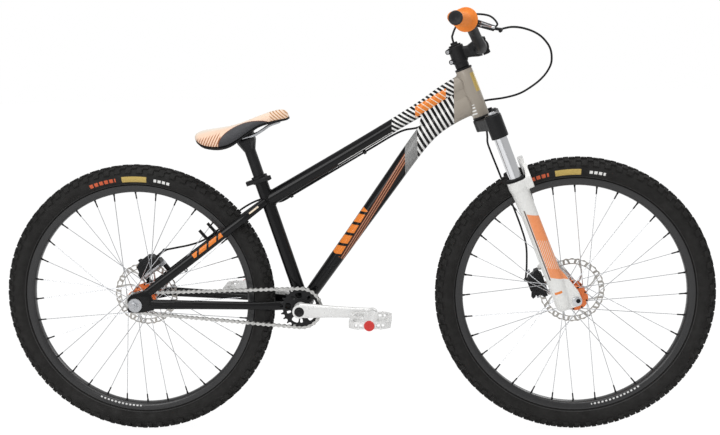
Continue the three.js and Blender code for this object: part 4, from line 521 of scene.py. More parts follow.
def loft(rings, closed_loop=False):
    """A skin over rings of corners. Its ends are capped, or the last ring runs on into the first."""
    size, count = len(rings[0]), len(rings)
    faces = []
    for k in range(count if closed_loop else count - 1):
        near, far = k * size, (k + 1) % count * size
        faces += [(near + i, near + (i + 1) % size, far + (i + 1) % size, far + i) for i in range(size)]
    if not closed_loop:
        faces += [tuple(range(size)), tuple(reversed(range((count - 1) * size, count * size)))]
    return solid([corner for ring in rings for corner in ring], faces)


def turned(profile, centre=ORIGIN, axis=Z_AXIS, segments=64, side=None):
    """A closed profile of (radius, along) turned about an axis; points on the axis may start and end it."""
    along = axis.normalized()
    side = side or (X_AXIS if abs(along.y) > 0.9 else Y_AXIS)
    side = (side - along * side.dot(along)).normalized()
    up = along.cross(side)
    return loft([[centre + (side * c + up * s) * radius + along * y for radius, y in profile]
                 for c, s in round_steps(segments)], True)


def mirrored_profile(half):
    """A profile whose second half is the mirror image of the first, across the middle plane."""
    return half + [(radius, -y) for radius, y in reversed(half)]


def smooth_rows(rows, steps):
    """Catmull-Rom points through rows of numbers."""
    result = []
    for k in range(len(rows) - 1):
        p0, p1, p2, p3 = rows[max(k - 1, 0)], rows[k], rows[k + 1], rows[min(k + 2, len(rows) - 1)]
        for s in range(steps):
            t = s / steps
            result.append([0.5 * (2 * b + (c - a) * t + (2 * a - 5 * b + 4 * c - d) * t * t
                                  + (3 * b - a - 3 * c + d) * t ** 3) for a, b, c, d in zip(p0, p1, p2, p3)])
    result.append(list(rows[-1]))
    return result


def ring_round(centre, along, wide, half_wide, half_high, sides=40):
    """An oval ring square to along, whose first half size lies toward wide."""
    sideways = (wide - along * wide.dot(along)).normalized()
    upward = sideways.cross(along).normalized()
    return [centre + sideways * (half_wide * c) + upward * (half_high * s) for c, s in round_steps(sides)]


def heading_at(points, k):
    return (points[min(k + 1, len(points) - 1)] - points[max(k - 1, 0)]).normalized()


def swept(points, radii, sides):
    """A round tube along points, without twist."""
    rings = []
    side = heading_at(points, 0).orthogonal()
    for k, radius in enumerate(radii):
        along = heading_at(points, k)
        side = (side - along * side.dot(along)).normalized()
        rings.append(ring_round(points[k], along, side, radius, radius, sides))
    return loft(rings)


def prism(outline, through, start, end):
    """A flat piece whose outline lies across the axis named through."""
    def place(a, b, c):
        return {"Y": Vector((a, c, b)), "X": Vector((c, a, b)), "Z": Vector((a, b, c))}[through]
    return loft([[place(a, b, c) for a, b in outline] for c in (start, end)])


def bar_between(start, end, radius, sides=40, end_radius=None):
    """A round bar, or a cone where its end radius differs."""
    start, end = Vector(start), Vector(end)
    along = (end - start).normalized()
    radii = radius, end_radius or radius
    return loft([ring_round(at, along, along.orthogonal(), r, r, sides) for at,
                 r in zip((start, end), radii)])


def bar_through(centre, axis, radius, half_length, sides=64):
    return bar_between(centre - axis * half_length, centre + axis * half_length, radius, sides)


def power_of(value, power):
    return math.copysign(abs(value) ** power, value)


def squircle(at, wide, high, half_wide, half_high, power, sides=28):
    """A ring between an oval and a box."""
    return [at + wide * (half_wide * power_of(c, 2 / power)) + high * (half_high * power_of(s, 2 / power))
            for c, s in round_steps(sides)]


def mirrored(mesh):
    """Turns a part of the left side into one of the right side."""
    work = bmesh.new()
    work.from_mesh(mesh)
    bmesh.ops.scale(work, vec=(1, -1, 1), verts=work.verts)
    bmesh.ops.reverse_faces(work, faces=work.faces)
    work.to_mesh(mesh)
    work.free()


def set_on_side(side, place, *meshes):
    """Mirrors parts of the left side for the right side, and puts them in place."""
    for mesh in meshes:
        if side < 0:
            mirrored(mesh)
        mesh.transform(place)


# Geometry Nodes: what repeats round an axle, along the chain and along a weld


class Group(Nodes):
    """A Geometry Nodes group that takes a geometry, named inputs and a material."""

    def __init__(self, name, **inputs):
        super().__init__(bpy.data.node_groups.new(name, "GeometryNodeTree"))
        self.tree.is_modifier = True
        face = self.tree.interface
        for label, kind in (("Geometry", "Geometry"), *inputs.items(), ("Material", "Material")):
            face.new_socket(label.replace("_", " "), in_out="INPUT", socket_type="NodeSocket" + kind)
        face.new_socket("Geometry", in_out="OUTPUT", socket_type="NodeSocketGeometry")
        self.inputs = self.add("NodeGroupInput").outputs
        self.output = self.add("NodeGroupOutput").inputs["Geometry"]

    def result(self, kind, *feeds, **values):
        """The first output of a new node."""
        return self.add(kind, *feeds, **values).outputs[0]

    def finish(self, instances):
        real = self.result("GeometryNodeRealizeInstances", Geometry=instances)
        self.feed(self.output,
                  self.result("GeometryNodeSetMaterial", Geometry=real, Material=self.inputs["Material"]))
        return self.tree


def repeat_round_group():
    """Copies of the geometry turned about an axle that runs along Y."""
    group = Group("repeat_round_axle", Count="Int", Centre="Vector")
    count = group.inputs["Count"]
    points = group.result("GeometryNodePoints", Count=count, Position=group.inputs["Centre"])
    step = group.maths("DIVIDE", 2 * math.pi, count)
    angle = group.maths("MULTIPLY", group.result("GeometryNodeInputIndex"), step)
    turn = group.result("ShaderNodeCombineXYZ", Y=angle)
    return group.finish(group.result("GeometryNodeInstanceOnPoints", Points=points, Rotation=turn,
                                     Instance=group.inputs["Geometry"]))


def links_group():
    """Outer and inner links by turns, each on one edge of a closed path."""
    group = Group("chain_links", Outer_Link="Object", Inner_Link="Object")
    ends = group.add("GeometryNodeInputMeshEdgeVertices").outputs
    along = group.result("ShaderNodeVectorMath", ends["Position 2"], ends["Position 1"], operation="SUBTRACT")
    keep = group.add("GeometryNodeCaptureAttribute", domain="EDGE")
    keep.capture_items.new("VECTOR", "Along")
    group.feed(keep.inputs["Geometry"], group.inputs["Geometry"])
    group.feed(keep.inputs["Along"], along)
    points = group.result("GeometryNodeMeshToPoints", mode="EDGES", Mesh=keep.outputs["Geometry"])
    heading = group.result("FunctionNodeAlignRotationToVector", axis="X", pivot_axis="Y",
                           Vector=keep.outputs["Along"])
    odd = group.maths("MODULO", group.result("GeometryNodeInputIndex"), 2)
    rows = group.add("GeometryNodeJoinGeometry")
    for label, choice in (("Outer Link", group.maths("SUBTRACT", 1, odd)), ("Inner Link", odd)):
        shape = group.add("GeometryNodeObjectInfo", Object=group.inputs[label]).outputs["Geometry"]
        group.feed(rows.inputs[0],
                   group.result("GeometryNodeInstanceOnPoints", Points=points, Selection=choice,
                                                Instance=shape, Rotation=heading))
    return group.finish(rows.outputs[0])


def beads_group():
    """Overlapping beads along a line of edges, as a weld leaves them."""
    group = Group("weld_beads", Pitch="Float", Bead_Radius="Float")
    line = group.result("GeometryNodeMeshToCurve", Mesh=group.inputs["Geometry"])
    even = group.result("GeometryNodeResampleCurve", mode="LENGTH", Curve=line, Length=group.inputs["Pitch"])
    bead = group.result("GeometryNodeMeshIcoSphere", Radius=group.inputs["Bead Radius"], Subdivisions=2)
    heading = group.result("FunctionNodeAlignRotationToVector", axis="X",
                           Vector=group.result("GeometryNodeInputTangent"))
    copies = group.result("GeometryNodeInstanceOnPoints", Points=even, Instance=bead, Rotation=heading,
                          Scale=(0.62, 1.0, 1.0))
    real = group.result("GeometryNodeRealizeInstances", Geometry=copies)
    return group.finish(group.result("GeometryNodeSetShadeSmooth", real))


REPEAT_ROUND = repeat_round_group()
CHAIN_LINK_GROUP = links_group()
WELD_BEADS = beads_group()


def made_by(group, name, mesh, material, node=None, slot=None, angle=40, body=None, **values):
    """Runs a group on a mesh and keeps the result as a plain piece."""
    piece = linked(name, mesh)
    modifier = piece.modifiers.new(group.name, "NODES")
    modifier.node_group = group
    values["Material"] = material
    for item in group.interface.items_tree:
        label = item.name.replace(" ", "_")
        if item.in_out == "INPUT" and label in values:
            modifier[item.identifier] = values[label]
    apply_modifiers(piece)
    return settled(piece, node, angle, body)


# Wheels

TREAD_COUNT = 74
TREAD_STEP = 2 * math.pi / TREAD_COUNT
BLOCK_LEVELS = [(-0.0022, 1.12), (0.0034, 1.0), (0.0042, 0.86)]
# Rows of blocks: radius, across, lean in degrees, length, width, and shift in shares of a step
TREAD_ROWS = [(0.3312, 0.0052, 9, 0.0125, 0.0082, 0.25), (0.3282, 0.0150, 32, 0.0115, 0.0078, -0.25),
              (0.3212, 0.0228, 58, 0.0135, 0.0110, 0.25)]
CASING = [(0.2806, 0.0113), (0.2862, 0.0116), (0.2878, 0.0150), (0.2925, 0.0205), (0.2990, 0.0248),
          (0.3065, 0.0268),
          (0.3140, 0.0262), (0.3210, 0.0232), (0.3268, 0.0176), (0.3308, 0.0096), (0.3322, 0.0)]
CASING_INSIDE = [(0.2806, 0.0060), (0.2860, 0.0085), (0.2950, 0.0180), (0.3060, 0.0230), (0.3180, 0.0205),
                 (0.3255, 0.0120), (0.3280, 0.0)]
RIM_HALF = [(0.2768, 0.0), (0.2780, 0.0104), (0.2797, 0.0122), (0.2850, 0.0124), (0.2858, 0.0139),
            (0.2860, 0.0150),
            (0.2835, 0.0151), (0.2805, 0.0142), (0.2760, 0.0136), (0.2720, 0.0120), (0.2690, 0.0085),
            (0.2680, 0.0040), (0.2680, 0.0)]
LABEL_START = {"front": 2.0, "rear": 1.92}
RIM_MARKS = {"front": (-1.42, -0.96), "rear": (-2.02, -1.62)}
SPOKE_COUNT, SPOKE_GROUP = 32, 4
SPOKE_CROSS = math.radians(67.5)
SPOKE_TIP = 0.2695
FLANGE_RADIUS, FLANGE_THICKNESS = 0.0295, 0.0036
SPOKE_FOOT = FLANGE_RADIUS - 0.0030
HUB_FLANGES = {"front": (-0.034, 0.022), "rear": (-0.029, 0.035)}
HUB_BORE, HUB_BARREL = 0.0079, 0.0135
ROTOR_PLANE = {"front": 0.046, "rear": 0.050}
ROTOR_WAVES, ROTOR_SLOTS, ROTOR_HALF = 8, 4, 0.0009


def tread_block(side, radius, across, lean, length, width, shift):
    """One tapered block, leaning out from the tread's crown."""
    turn = Matrix.Rotation(side * shift * TREAD_STEP, 3, "Y")
    tip = Matrix.Rotation(-side * math.radians(lean), 3, "X")
    foot = Vector((0, side * across, radius))
    return loft([[turn @ (foot + tip @ Vector((x * length / 2 * share, y * width / 2 * share, level)))
                  for x, y in ((-1, -1), (1, -1), (1, 1), (-1, 1))] for level, share in BLOCK_LEVELS])


def tyre_finish(end, axle):
    finish = Finish(end + "_tyre_rubber", (0.010, 0.0095, 0.009), 0.72, Specular_IOR_Level=0.3)
    finish.mottle(26, (0.019, 0.018, 0.017), 0.6)
    radius, angle = finish.radius_from(axle), finish.angle_from(axle)
    outer_side = finish.between(finish.measure(axle, Y_AXIS), -0.04, -0.012, 0.001)

    def label(colour, near, far, low, high, *masks):
        """A plain label between two angles back from its start, and between two radii."""
        arc = finish.between(angle, LABEL_START[end] - far, LABEL_START[end] - near, 0.002)
        finish.paint(colour, finish.between(radius, low, high), outer_side, arc, *masks)

    label((0.62, 0.12, 0.05), 0, 0.22, 0.2985, 0.3075, finish.stripes(angle, 0.042, 0.72))
    label(GOLD, 0.27, 0.47, 0.2955, 0.3095)
    label(PAINT_WHITE, 0.53, 0.66, 0.2995, 0.3065, finish.stripes(angle, 0.036, 0.7))
    finish.paint((0.05, 0.05, 0.05), finish.between(radius, 0.2895, 0.2905, 0.0003), outer_side)
    ribs = finish.stripes(radius, 0.0021, 0.5)
    finish.bump(finish.leant(finish.noise(620), ribs, 0.15), 0.35, 0.0006)
    return finish.vary_roughness(60, 0.6, 0.85).material


def add_tyre(end, axle, body):
    finish = tyre_finish(end, axle)
    section = mirrored_profile(smooth_rows(CASING, 3)[::-1] + CASING_INSIDE)
    add_piece(end + "_tyre_casing", turned(section, axle, Y_AXIS, 144), finish, end + "_tyre",
              50)
    blocks = joined(*[tread_block(side, *row) for side, _ in SIDES for row in TREAD_ROWS])
    made_by(REPEAT_ROUND, end + "_tyre_tread", blocks, finish, None, "tyre_black", 30, body,
            Count=TREAD_COUNT,
            Centre=tuple(axle))


def rim_finish(end, axle):
    finish = Finish(end + "_rim_black", (0.012, 0.012, 0.013), 0.34, Coat_Weight=0.3, Coat_Roughness=0.2)
    finish.vary_roughness(80, 0.28, 0.42)
    angle = finish.angle_from(axle)
    finish.paint((0.75, 0.75, 0.74), finish.between(finish.radius_from(axle), 0.2735, 0.2772, 0.0004),
                 finish.between(finish.measure(axle, Y_AXIS), -0.03, -0.006, 0.001),
                 finish.between(angle, *RIM_MARKS[end], 0.003), finish.stripes(angle, 0.034, 0.5))
    return finish.material


def spoke_meshes(end):
    """One group of spokes, two each side, one leading and one trailing; and its nipples and spoke heads."""
    spokes, nipples = [], []
    for k in range(SPOKE_GROUP):
        leading, outward = 1 if k < 2 else -1, 1 if k % 2 == 0 else -1
        flange = HUB_FLANGES[end][1 if outward > 0 else 0] + outward * FLANGE_THICKNESS / 2
        rim_angle = 2 * math.pi * k / SPOKE_COUNT
        hub_angle = rim_angle + leading * SPOKE_CROSS
        foot = Vector((SPOKE_FOOT * math.sin(hub_angle), flange + leading * 0.0024,
                       SPOKE_FOOT * math.cos(hub_angle)))
        run = Vector((SPOKE_TIP * math.sin(rim_angle), outward * 0.002,
                      SPOKE_TIP * math.cos(rim_angle))) - foot
        for parts, stations in (
                (spokes, ((0, 0.0012), (0.06, 0.0012), (0.1, 0.00095), (0.93, 0.00095), (1, 0.0011))),
                (nipples, ((0.925, 0.0014), (0.93, 0.0018), (0.975, 0.0018), (0.98, 0.0024), (1.0, 0.0026)))):
            parts.append(loft([ring_round(foot + run * t, run.normalized(), Y_AXIS, r, r, 8) for t,
                               r in stations]))
        nipples.append(bar_between(foot + Y_AXIS * (leading * 0.0012), foot + Y_AXIS * (leading * 0.0021),
                                   0.0022, 8, 0.0016))
    return joined(*spokes), joined(*nipples)


steel_spoke = silver("spoke_steel", (0.62, 0.63, 0.65), 0.2, 0.32).material
nipple_black = satin_black("nipple_black").material
hub_orange = Finish("hub_orange_anodised", (0.80, 0.20, 0.05), 0.3, 0.55, Coat_Weight=0.35,
                    Coat_Roughness=0.15)
hub_orange.mottle(34, (0.62, 0.13, 0.03), 0.45).vary_roughness(90, 0.22, 0.36)


def add_spokes(end, axle, body):
    spokes, nipples = spoke_meshes(end)
    repeat = {"Count": SPOKE_COUNT // SPOKE_GROUP, "Centre": tuple(axle)}
    made_by(REPEAT_ROUND, end + "_wheel_spokes", spokes, steel_spoke, end + "_spokes", "steel", **repeat)
    made_by(REPEAT_ROUND, end + "_spoke_nipples", nipples, nipple_black, body=body, **repeat)


def add_hub(end, axle):
    right, left = HUB_FLANGES[end]
    low, high = (corner[1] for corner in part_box(end + "_hub"))
    edge, thick, plane = FLANGE_RADIUS, FLANGE_THICKNESS, ROTOR_PLANE[end]
    profile = [
        (HUB_BORE, low), (0.0128, low), (0.0135, low + 0.001), (0.0135, right - thick - 0.003),
        (0.0165, right - thick - 0.0006), (edge - 0.0006, right - thick), (edge, right - thick + 0.0006),
        (edge, right - 0.0006), (edge - 0.0006, right), (0.0185, right + 0.0012),
        (0.0150, right + thick * 1.4),
        (HUB_BARREL, right + thick * 2.2), (HUB_BARREL - 0.0012, (right + left) / 2),
        (HUB_BARREL, left - thick * 2.2),
        (0.0150, left - thick * 1.4), (0.0185, left - 0.0012), (edge - 0.0006, left), (edge, left + 0.0006),
        (edge, left + thick - 0.0006), (edge - 0.0006, left + thick), (0.0240, left + 2 * thick),
        (0.0240, plane - 0.0014), (0.0166, plane - 0.0014), (0.0166, plane + 0.0018),
        (0.0118, plane + 0.0022),
        (0.0112, high), (HUB_BORE, high),
    ]
    add_piece(end + "_hub_body", turned(profile, axle, Y_AXIS), hub_orange.material, end + "_hub",
              28)


def rotor_finish(end, axle):
    finish = Finish(end + "_rotor_steel", (0.56, 0.55, 0.53), 0.3, 1.0)
    radius = finish.radius_from(axle)
    track = finish.between(radius, 0.0655, 0.081, 0.0004)
    finish.paint((0.46, 0.44, 0.41), track)
    finish.paint((0.03, 0.03, 0.032), finish.between(radius, 0, 0.0235), finish.noise(30))
    finish.bump(finish.both(finish.stripes(radius, 0.0006, 0.5), track), 0.15, 0.0002)
    return finish.vary_roughness(150, 0.22, 0.4).material


def rotor_sector(plane):
    """An eighth of the rotor: the wavy braking track with its slots, one curved arm and the carrier."""
    step, steps = 2 * math.pi / ROTOR_WAVES, 32
    angles = [step * k / steps for k in range(steps + 1)]
    waves = [(0.0800 - 0.0020 * (1 - math.cos(4 * ROTOR_WAVES * a)) / 2, a) for a in angles]
    outlines = [[(0.0652, a) for a in angles] + [(0.0676, a) for a in reversed(angles)],
                [(0.0762, a) for a in angles] + waves[::-1]]
    for slot in range(ROTOR_SLOTS):
        centre, width = step * (slot + 0.5) / ROTOR_SLOTS, step / ROTOR_SLOTS * 0.20
        tip = centre + (0.05 if slot % 2 == 0 else -0.02)
        outlines.append([(0.0674, centre - width), (0.0674, centre + width), (0.0764, tip + width),
                         (0.0764, tip - width)])
    arm = [(0.0225, 0.02, 0.2), (0.034, 0.1, 0.22), (0.046, 0.21, 0.30), (0.0565, 0.34, 0.42),
           (0.0655, 0.44, 0.56)]
    outlines.append([(r, near) for r, near, _ in arm] + [(r, far) for r, _, far in reversed(arm)])
    outlines.append([(0.0168, step * k / 6) for k in range(7)] + [(0.0240, step * k / 6)
                                                                  for k in reversed(range(7))])
    return joined(*[loft([[Vector((r * math.cos(a), plane + y, r * math.sin(a))) for r, a in outline]
                          for y in (-ROTOR_HALF, ROTOR_HALF)]) for outline in outlines])


for end, axle in (("front", FRONT_AXLE), ("rear", REAR_AXLE)):
    add_tyre(end, axle, end + "_wheel")
    add_piece(end + "_rim_section", turned(mirrored_profile(RIM_HALF), axle, Y_AXIS, 144),
              rim_finish(end, axle),
              end + "_rim", 32)
    add_spokes(end, axle, end + "_wheel")
    add_hub(end, axle)
    made_by(REPEAT_ROUND, end + "_brake_rotor", rotor_sector(ROTOR_PLANE[end]), rotor_finish(end, axle),
            end + "_rotor", "steel", 30, Count=ROTOR_WAVES, Centre=tuple(axle))

# Frame tubes: rows of place along, rise and bow outboard, then half depth and half width, all in shares

TOP_TUBE = [
    (0.006, -0.004, 0, 1.06, 1), (0.2, -0.005, 0, 1.01, 1), (0.42, -0.005, 0, 0.95, 0.97),
    (0.64, -0.004, 0, 0.93, 0.95), (0.78, -0.003, 0, 1.03, 0.98), (0.89, 0.002, 0, 1.16, 1),
    (0.99, 0.002, 0, 1.15, 1),
]
DOWN_TUBE = [
    (0.015, 0, 0, 0.72, 1.08), (0.334, 0.024, 0, 0.82, 1), (0.549, 0.041, 0, 0.91, 0.98),
    (0.746, 0.056, 0, 1, 0.95),
    (0.844, 0.055, 0, 1.13, 0.92), (0.927, 0.035, 0, 1.24, 0.9), (1, 0.004, 0, 1.3, 0.88),
]
CHAINSTAY = [
    (0.02, 0, 0, 1.24, 1.2), (0.106, 0, 0.006, 1.22, 0.98), (0.181, 0, 0.017, 1.22, 0.7),
    (0.287, 0, 0.015, 1.06, 0.9),
    (0.483, 0, 0.013, 1, 1), (0.687, 0, 0.008, 1, 1), (0.9, 0, 0.001, 1.06, 0.92), (1, 0, 0, 1.06, 0.62),
]
SEATSTAY = [
    (0.01, 0, 0, 0.88, 1.1), (0.06, 0, 0.012, 0.9, 1.1), (0.119, 0, 0.03, 0.92, 1),
    (0.196, 0, 0.043, 0.95, 0.9),
    (0.356, 0, 0.034, 1, 0.93), (0.573, 0, 0.019, 1.06, 1), (0.82, 0, 0.005, 1.06, 0.92), (1, 0, 0, 1, 0.64),
]
SEAT_JOINT = seat_at(0, 0, 0.272)
TOP_TUBE_RUN = (SEAT_JOINT, steering_at(0, 0, 0.09))
DOWN_TUBE_RUN = (BOTTOM_BRACKET, steering_at(-0.012, 0, 0.035))
SEATSTAY_RUN = (SEAT_JOINT, Vector((-0.5023, 0, 0.366)))
STAY_FOOT = REAR_AXLE + Vector((0.0353, 0, 0.0312))
TOP_TUBE_SIZE, DOWN_TUBE_SIZE = (0.034, 0.031), (0.044, 0.036)
CHAINSTAY_SIZE, SEATSTAY_SIZE = (0.017, 0.015), (0.021, 0.014)
ZEBRA_TOP, ZEBRA_LOW, GREY_FROM = 0.101, 0.131, 0.249
CABLE_RING = mirrored_profile([(0.0034, -0.0035), (0.0046, -0.0035), (0.0052, -0.0029)])
CABLE_RING_DROP = 0.0221
HEAD_TUBE = [(0.0172, 0.0), (0.0198, 0.0), (0.0200, 0.0005), (0.0200, 0.1155), (0.0198, 0.116),
             (0.0172, 0.116)]
SHELL = mirrored_profile([(0.0174, -0.0365), (0.0199, -0.0365), (0.0205, -0.0359)])
JUNCTION_WEB = [(0.166, 0.758), (0.171, 0.775), (0.176, 0.800), (0.285, 0.858), (0.300, 0.800),
                (0.200, 0.745)]
SEAT_CUT = bar_through(SEAT_JOINT, SEAT_AXIS, 0.0162, 0.4)
HEAD_CUT = bar_through(steering_at(0, 0, 0.058), HEAD_AXIS, 0.0195, 0.12)
SHELL_CUT = bar_through(BOTTOM_BRACKET, Y_AXIS, 0.0208, 0.06)


def rise_of(run):
    """The direction square to a tube and to the rider's left, on the tube's upper side."""
    rise = (run[1] - run[0]).normalized().cross(Y_AXIS).normalized()
    return -rise if rise.z < 0 else rise


def tube_rings(run, size, rows, sides=44):
    """Oval rings along a frame tube of a depth and a width, from its rows of shares."""
    line = run[1] - run[0]
    outboard = Y_AXIS * (math.copysign(1, line.y) if abs(line.y) > 1e-6 else 0)
    shares = smooth_rows(rows, 5)
    points = [run[0] + line * at + (rise_of(run) * up + outboard * out) * line.length for at, up, out, _,
              _ in shares]
    return [ring_round(points[k], heading_at(points, k), Y_AXIS, size[1] / 2 * wide, size[0] / 2 * deep,
                       sides)
            for k, (_, _, _, deep, wide) in enumerate(shares)]


def tube_axes(finish, run):
    """Distances along a tube and above its middle line, and 1 on both its flanks."""
    flank = finish.beyond(finish.maths("ABSOLUTE", finish.measure(ORIGIN, Y_AXIS)), 0.005)
    return finish.measure(run[0], (run[1] - run[0]).normalized()), finish.measure(run[0], rise_of(run)), flank


def top_tube_finish():
    finish = gloss_black("top_tube_gloss_black")
    along, up, flank = tube_axes(finish, TOP_TUBE_RUN)
    ahead = finish.measure(ORIGIN, X_AXIS)
    bars = finish.stripes(finish.leant(along, up, 0.6), 0.0115, 0.45)
    finish.paint(PAINT_WHITE, finish.between(ahead, ZEBRA_TOP, GREY_FROM), bars)
    patch = finish.both(finish.between(ahead, 0.157, 0.230), finish.between(up, -0.013, 0.010), flank)
    finish.paint(PAINT_ORANGE, patch)
    finish.paint(PAINT_CREAM, patch, finish.stripes(finish.leant(along, up, 0.5), 0.012, 0.2))
    finish.paint(PAINT_GREY, finish.between(ahead, GREY_FROM, 0.5))
    # Painted highlight: a thin white line low on both flanks of the middle of the top tube, above the rear brake
    # cable
    finish.paint(PAINT_WHITE, finish.between(up, -0.0150, -0.0136, 0.0003),
                 finish.between(ahead, -0.03, ZEBRA_TOP), flank)
    return finish.material


def down_tube_finish():
    finish = gloss_black("down_tube_gloss_black")
    along, up, flank = tube_axes(finish, DOWN_TUBE_RUN)
    ahead = finish.measure(ORIGIN, X_AXIS)
    level = finish.leant(up, finish.maths("SUBTRACT", along, 0.15), -0.146)
    block = finish.both(finish.between(along, 0.151, 0.283), finish.between(level, 0.006, 0.0275), flank)
    finish.paint(PAINT_ORANGE, block, finish.stripes(finish.leant(along, up, 0.7), 0.033, 0.76))
    lines = finish.both(finish.between(along, 0.151, 0.50), finish.between(level, -0.012, 0.0035), flank)
    finish.paint((0.11, 0.035, 0.016), lines)
    finish.paint((0.60, 0.27, 0.16), lines, finish.stripes(level, 0.0052, 0.3))
    start = finish.between(ahead, ZEBRA_LOW, ZEBRA_LOW + 0.030)
    finish.paint((0.10, 0.10, 0.10), start)
    finish.paint((0.55, 0.55, 0.54), start, finish.stripes(finish.leant(along, up, -1), 0.0034, 0.35))
    zebra = finish.between(ahead, ZEBRA_LOW + 0.030, GREY_FROM)
    finish.paint(BLACK, zebra)
    finish.paint(PAINT_WHITE, zebra, finish.stripes(finish.leant(along, up, -0.35), 0.0125, 0.45))
    finish.paint(PAINT_GREY, finish.between(ahead, GREY_FROM, 0.5))
    return finish.material


def head_tube_finish():
    finish = gloss_black("head_tube_warm_grey")
    up, ahead = finish.measure(HEAD_FOOT, HEAD_AXIS), finish.measure(HEAD_FOOT, AHEAD_AXIS)
    finish.paint(PAINT_GREY, finish.between(up, -0.010, 0.130))
    finish.paint(GOLD, finish.between(up, 0.058, 0.104), finish.between(ahead, 0.0100, 0.03))
    finish.paint(PAINT_WHITE, finish.between(up, 0.004, 0.032), finish.between(ahead, -0.03, -0.006),
                 finish.stripes(up, 0.0075, 0.5))
    return finish.material


def seatstay_finish(name):
    finish = gloss_black("seatstay_gloss_black_" + name)
    along, up, _ = tube_axes(finish, SEATSTAY_RUN)
    finish.paint(PAINT_ORANGE, finish.between(along, 0.130, 0.218),
                 finish.between(up, -0.0048, 0.0062, 0.0004),
                 finish.stripes(finish.leant(along, up, 0.8), 0.0295, 0.78))
    finish.paint(PAINT_CREAM, finish.between(along, 0.022, 0.048),
                 finish.between(up, -0.0015, 0.0025, 0.0004))
    return finish.material


def cable_ring(share):
    """A ring under the top tube that the rear brake's cable runs through."""
    line = TOP_TUBE_RUN[1] - TOP_TUBE_RUN[0]
    centre = TOP_TUBE_RUN[0] + line * share - rise_of(TOP_TUBE_RUN) * CABLE_RING_DROP
    return turned(CABLE_RING, centre, line, 20, line.orthogonal())


def add_tube(name, run, size, rows, material, cutters, extra=(), node=None, sides=44):
    piece = cut_with(linked(name, loft(tube_rings(run, size, rows, sides))), *cutters)
    finished(piece, material, node, 45, "frame", extra)


def add_stays():
    for side, name in SIDES:
        run = (BOTTOM_BRACKET + Y_AXIS * (side * 0.024), REAR_AXLE + Vector((0.042, side * 0.068, 0.0045)))
        add_tube("chainstay_tube_" + name, run, CHAINSTAY_SIZE, CHAINSTAY, frame_black, (SHELL_CUT, SEAT_CUT),
                 sides=28)
        dressed("chainstay_" + name, frame_black, 0.0008, 30)
        finish = seatstay_finish(name)
        run = (seat_at(0, side * 0.013, 0.271), STAY_FOOT + Y_AXIS * (side * 0.068))
        add_tube("seatstay_tube_" + name, run, SEATSTAY_SIZE, SEATSTAY, finish, (SEAT_CUT,), sides=28)
        dressed("seatstay_" + name, finish, 0.0006, 30)


def add_frame():
    rings = [cable_ring(share) for share in (0.1, 0.47)]
    add_tube("top_tube_tube", TOP_TUBE_RUN, TOP_TUBE_SIZE, TOP_TUBE, top_tube_finish(), (SEAT_CUT, HEAD_CUT),
             rings, "top_tube")
    add_tube("down_tube_tube", DOWN_TUBE_RUN, DOWN_TUBE_SIZE, DOWN_TUBE, down_tube_finish(),
             (SHELL_CUT, SEAT_CUT, HEAD_CUT), (), "down_tube")
    web = prism(JUNCTION_WEB, "Y", -0.012, 0.012)
    add_piece("tube_junction_web", web, down_tube_finish(), None, 0, "frame")
    add_stays()
    for side, name in SIDES:
        post = bar_between((-0.343, side * 0.048, 0.486), (-0.367, side * 0.048, 0.515), 0.0042, 24, 0.0038)
        add_piece("seatstay_post_" + name, post, frame_black, None, 40, "frame")
    piece = linked("seat_tube_round", bar_through(seat_at(0, 0, 0.1655), SEAT_AXIS, 0.0159, 0.1655, 56))
    cut_with(piece, SHELL_CUT, bar_through(seat_at(0, 0, 0.3), SEAT_AXIS, 0.0144, 0.2))
    finished(piece, frame_black, "seat_tube", 40)
    add_piece("head_tube_round", turned(HEAD_TUBE, HEAD_FOOT, HEAD_AXIS), head_tube_finish(), "head_tube",
              40)
    add_piece("bottom_bracket_round", turned(SHELL, BOTTOM_BRACKET, Y_AXIS), frame_black,
              "bottom_bracket_shell",
              40)


add_frame()

# Fork: rows of the leg are place down, shift ahead, then half depth and half width, all in shares

LEG = [
    (0, 0, 1.2, 1.2), (0.06, 0, 1.2, 1.2), (0.1, 0, 1.07, 1.07), (0.3, 0.04, 0.99, 0.99),
    (0.65, 0.1, 1.02, 0.98),
    (0.76, 0.12, 1.02, 0.8), (0.88, 0.02, 0.9, 0.78), (0.96, -0.04, 0.86, 0.72), (1, -0.1, 0.55, 0.5),
]
LEG_TOP, LEG_LENGTH, LEG_RADIUS = -0.165, 0.332, 0.020
LEG_OUT = LEG_SPACING / 2
AXLE_AHEAD, AXLE_UP = 0.057, -0.4862
STANCHION = [
    (0, -0.292), (0.0144, -0.292), (0.015, -0.2914), (0.015, -0.0029), (0.0164, -0.0027), (0.0164, -0.0008),
    (0.0158, -0.0002), (0.0098, -0.0001), (0.0094, 0.0003), (0.0075, 0.0004), (0.0075, 0.0038),
    (0.0069, 0.0043), (0, 0.0043),
]
DUST_SEAL = [
    (0.0152, -0.1647), (0.0240, -0.1647), (0.0242, -0.1640), (0.0242, -0.1628), (0.0228, -0.1622),
    (0.0228, -0.1612),
    (0.0236, -0.1606), (0.0232, -0.1596), (0.0196, -0.1588), (0.0184, -0.1582), (0.0156, -0.1580),
    (0.0152, -0.1584),
]
AXLE_SHAFT = mirrored_profile([(0, -0.0724), (0.0102, -0.0724), (0.0112, -0.0719), (0.0115, -0.0710),
                               (0.0115, -0.0686),
                               (0.0075, -0.0684)])


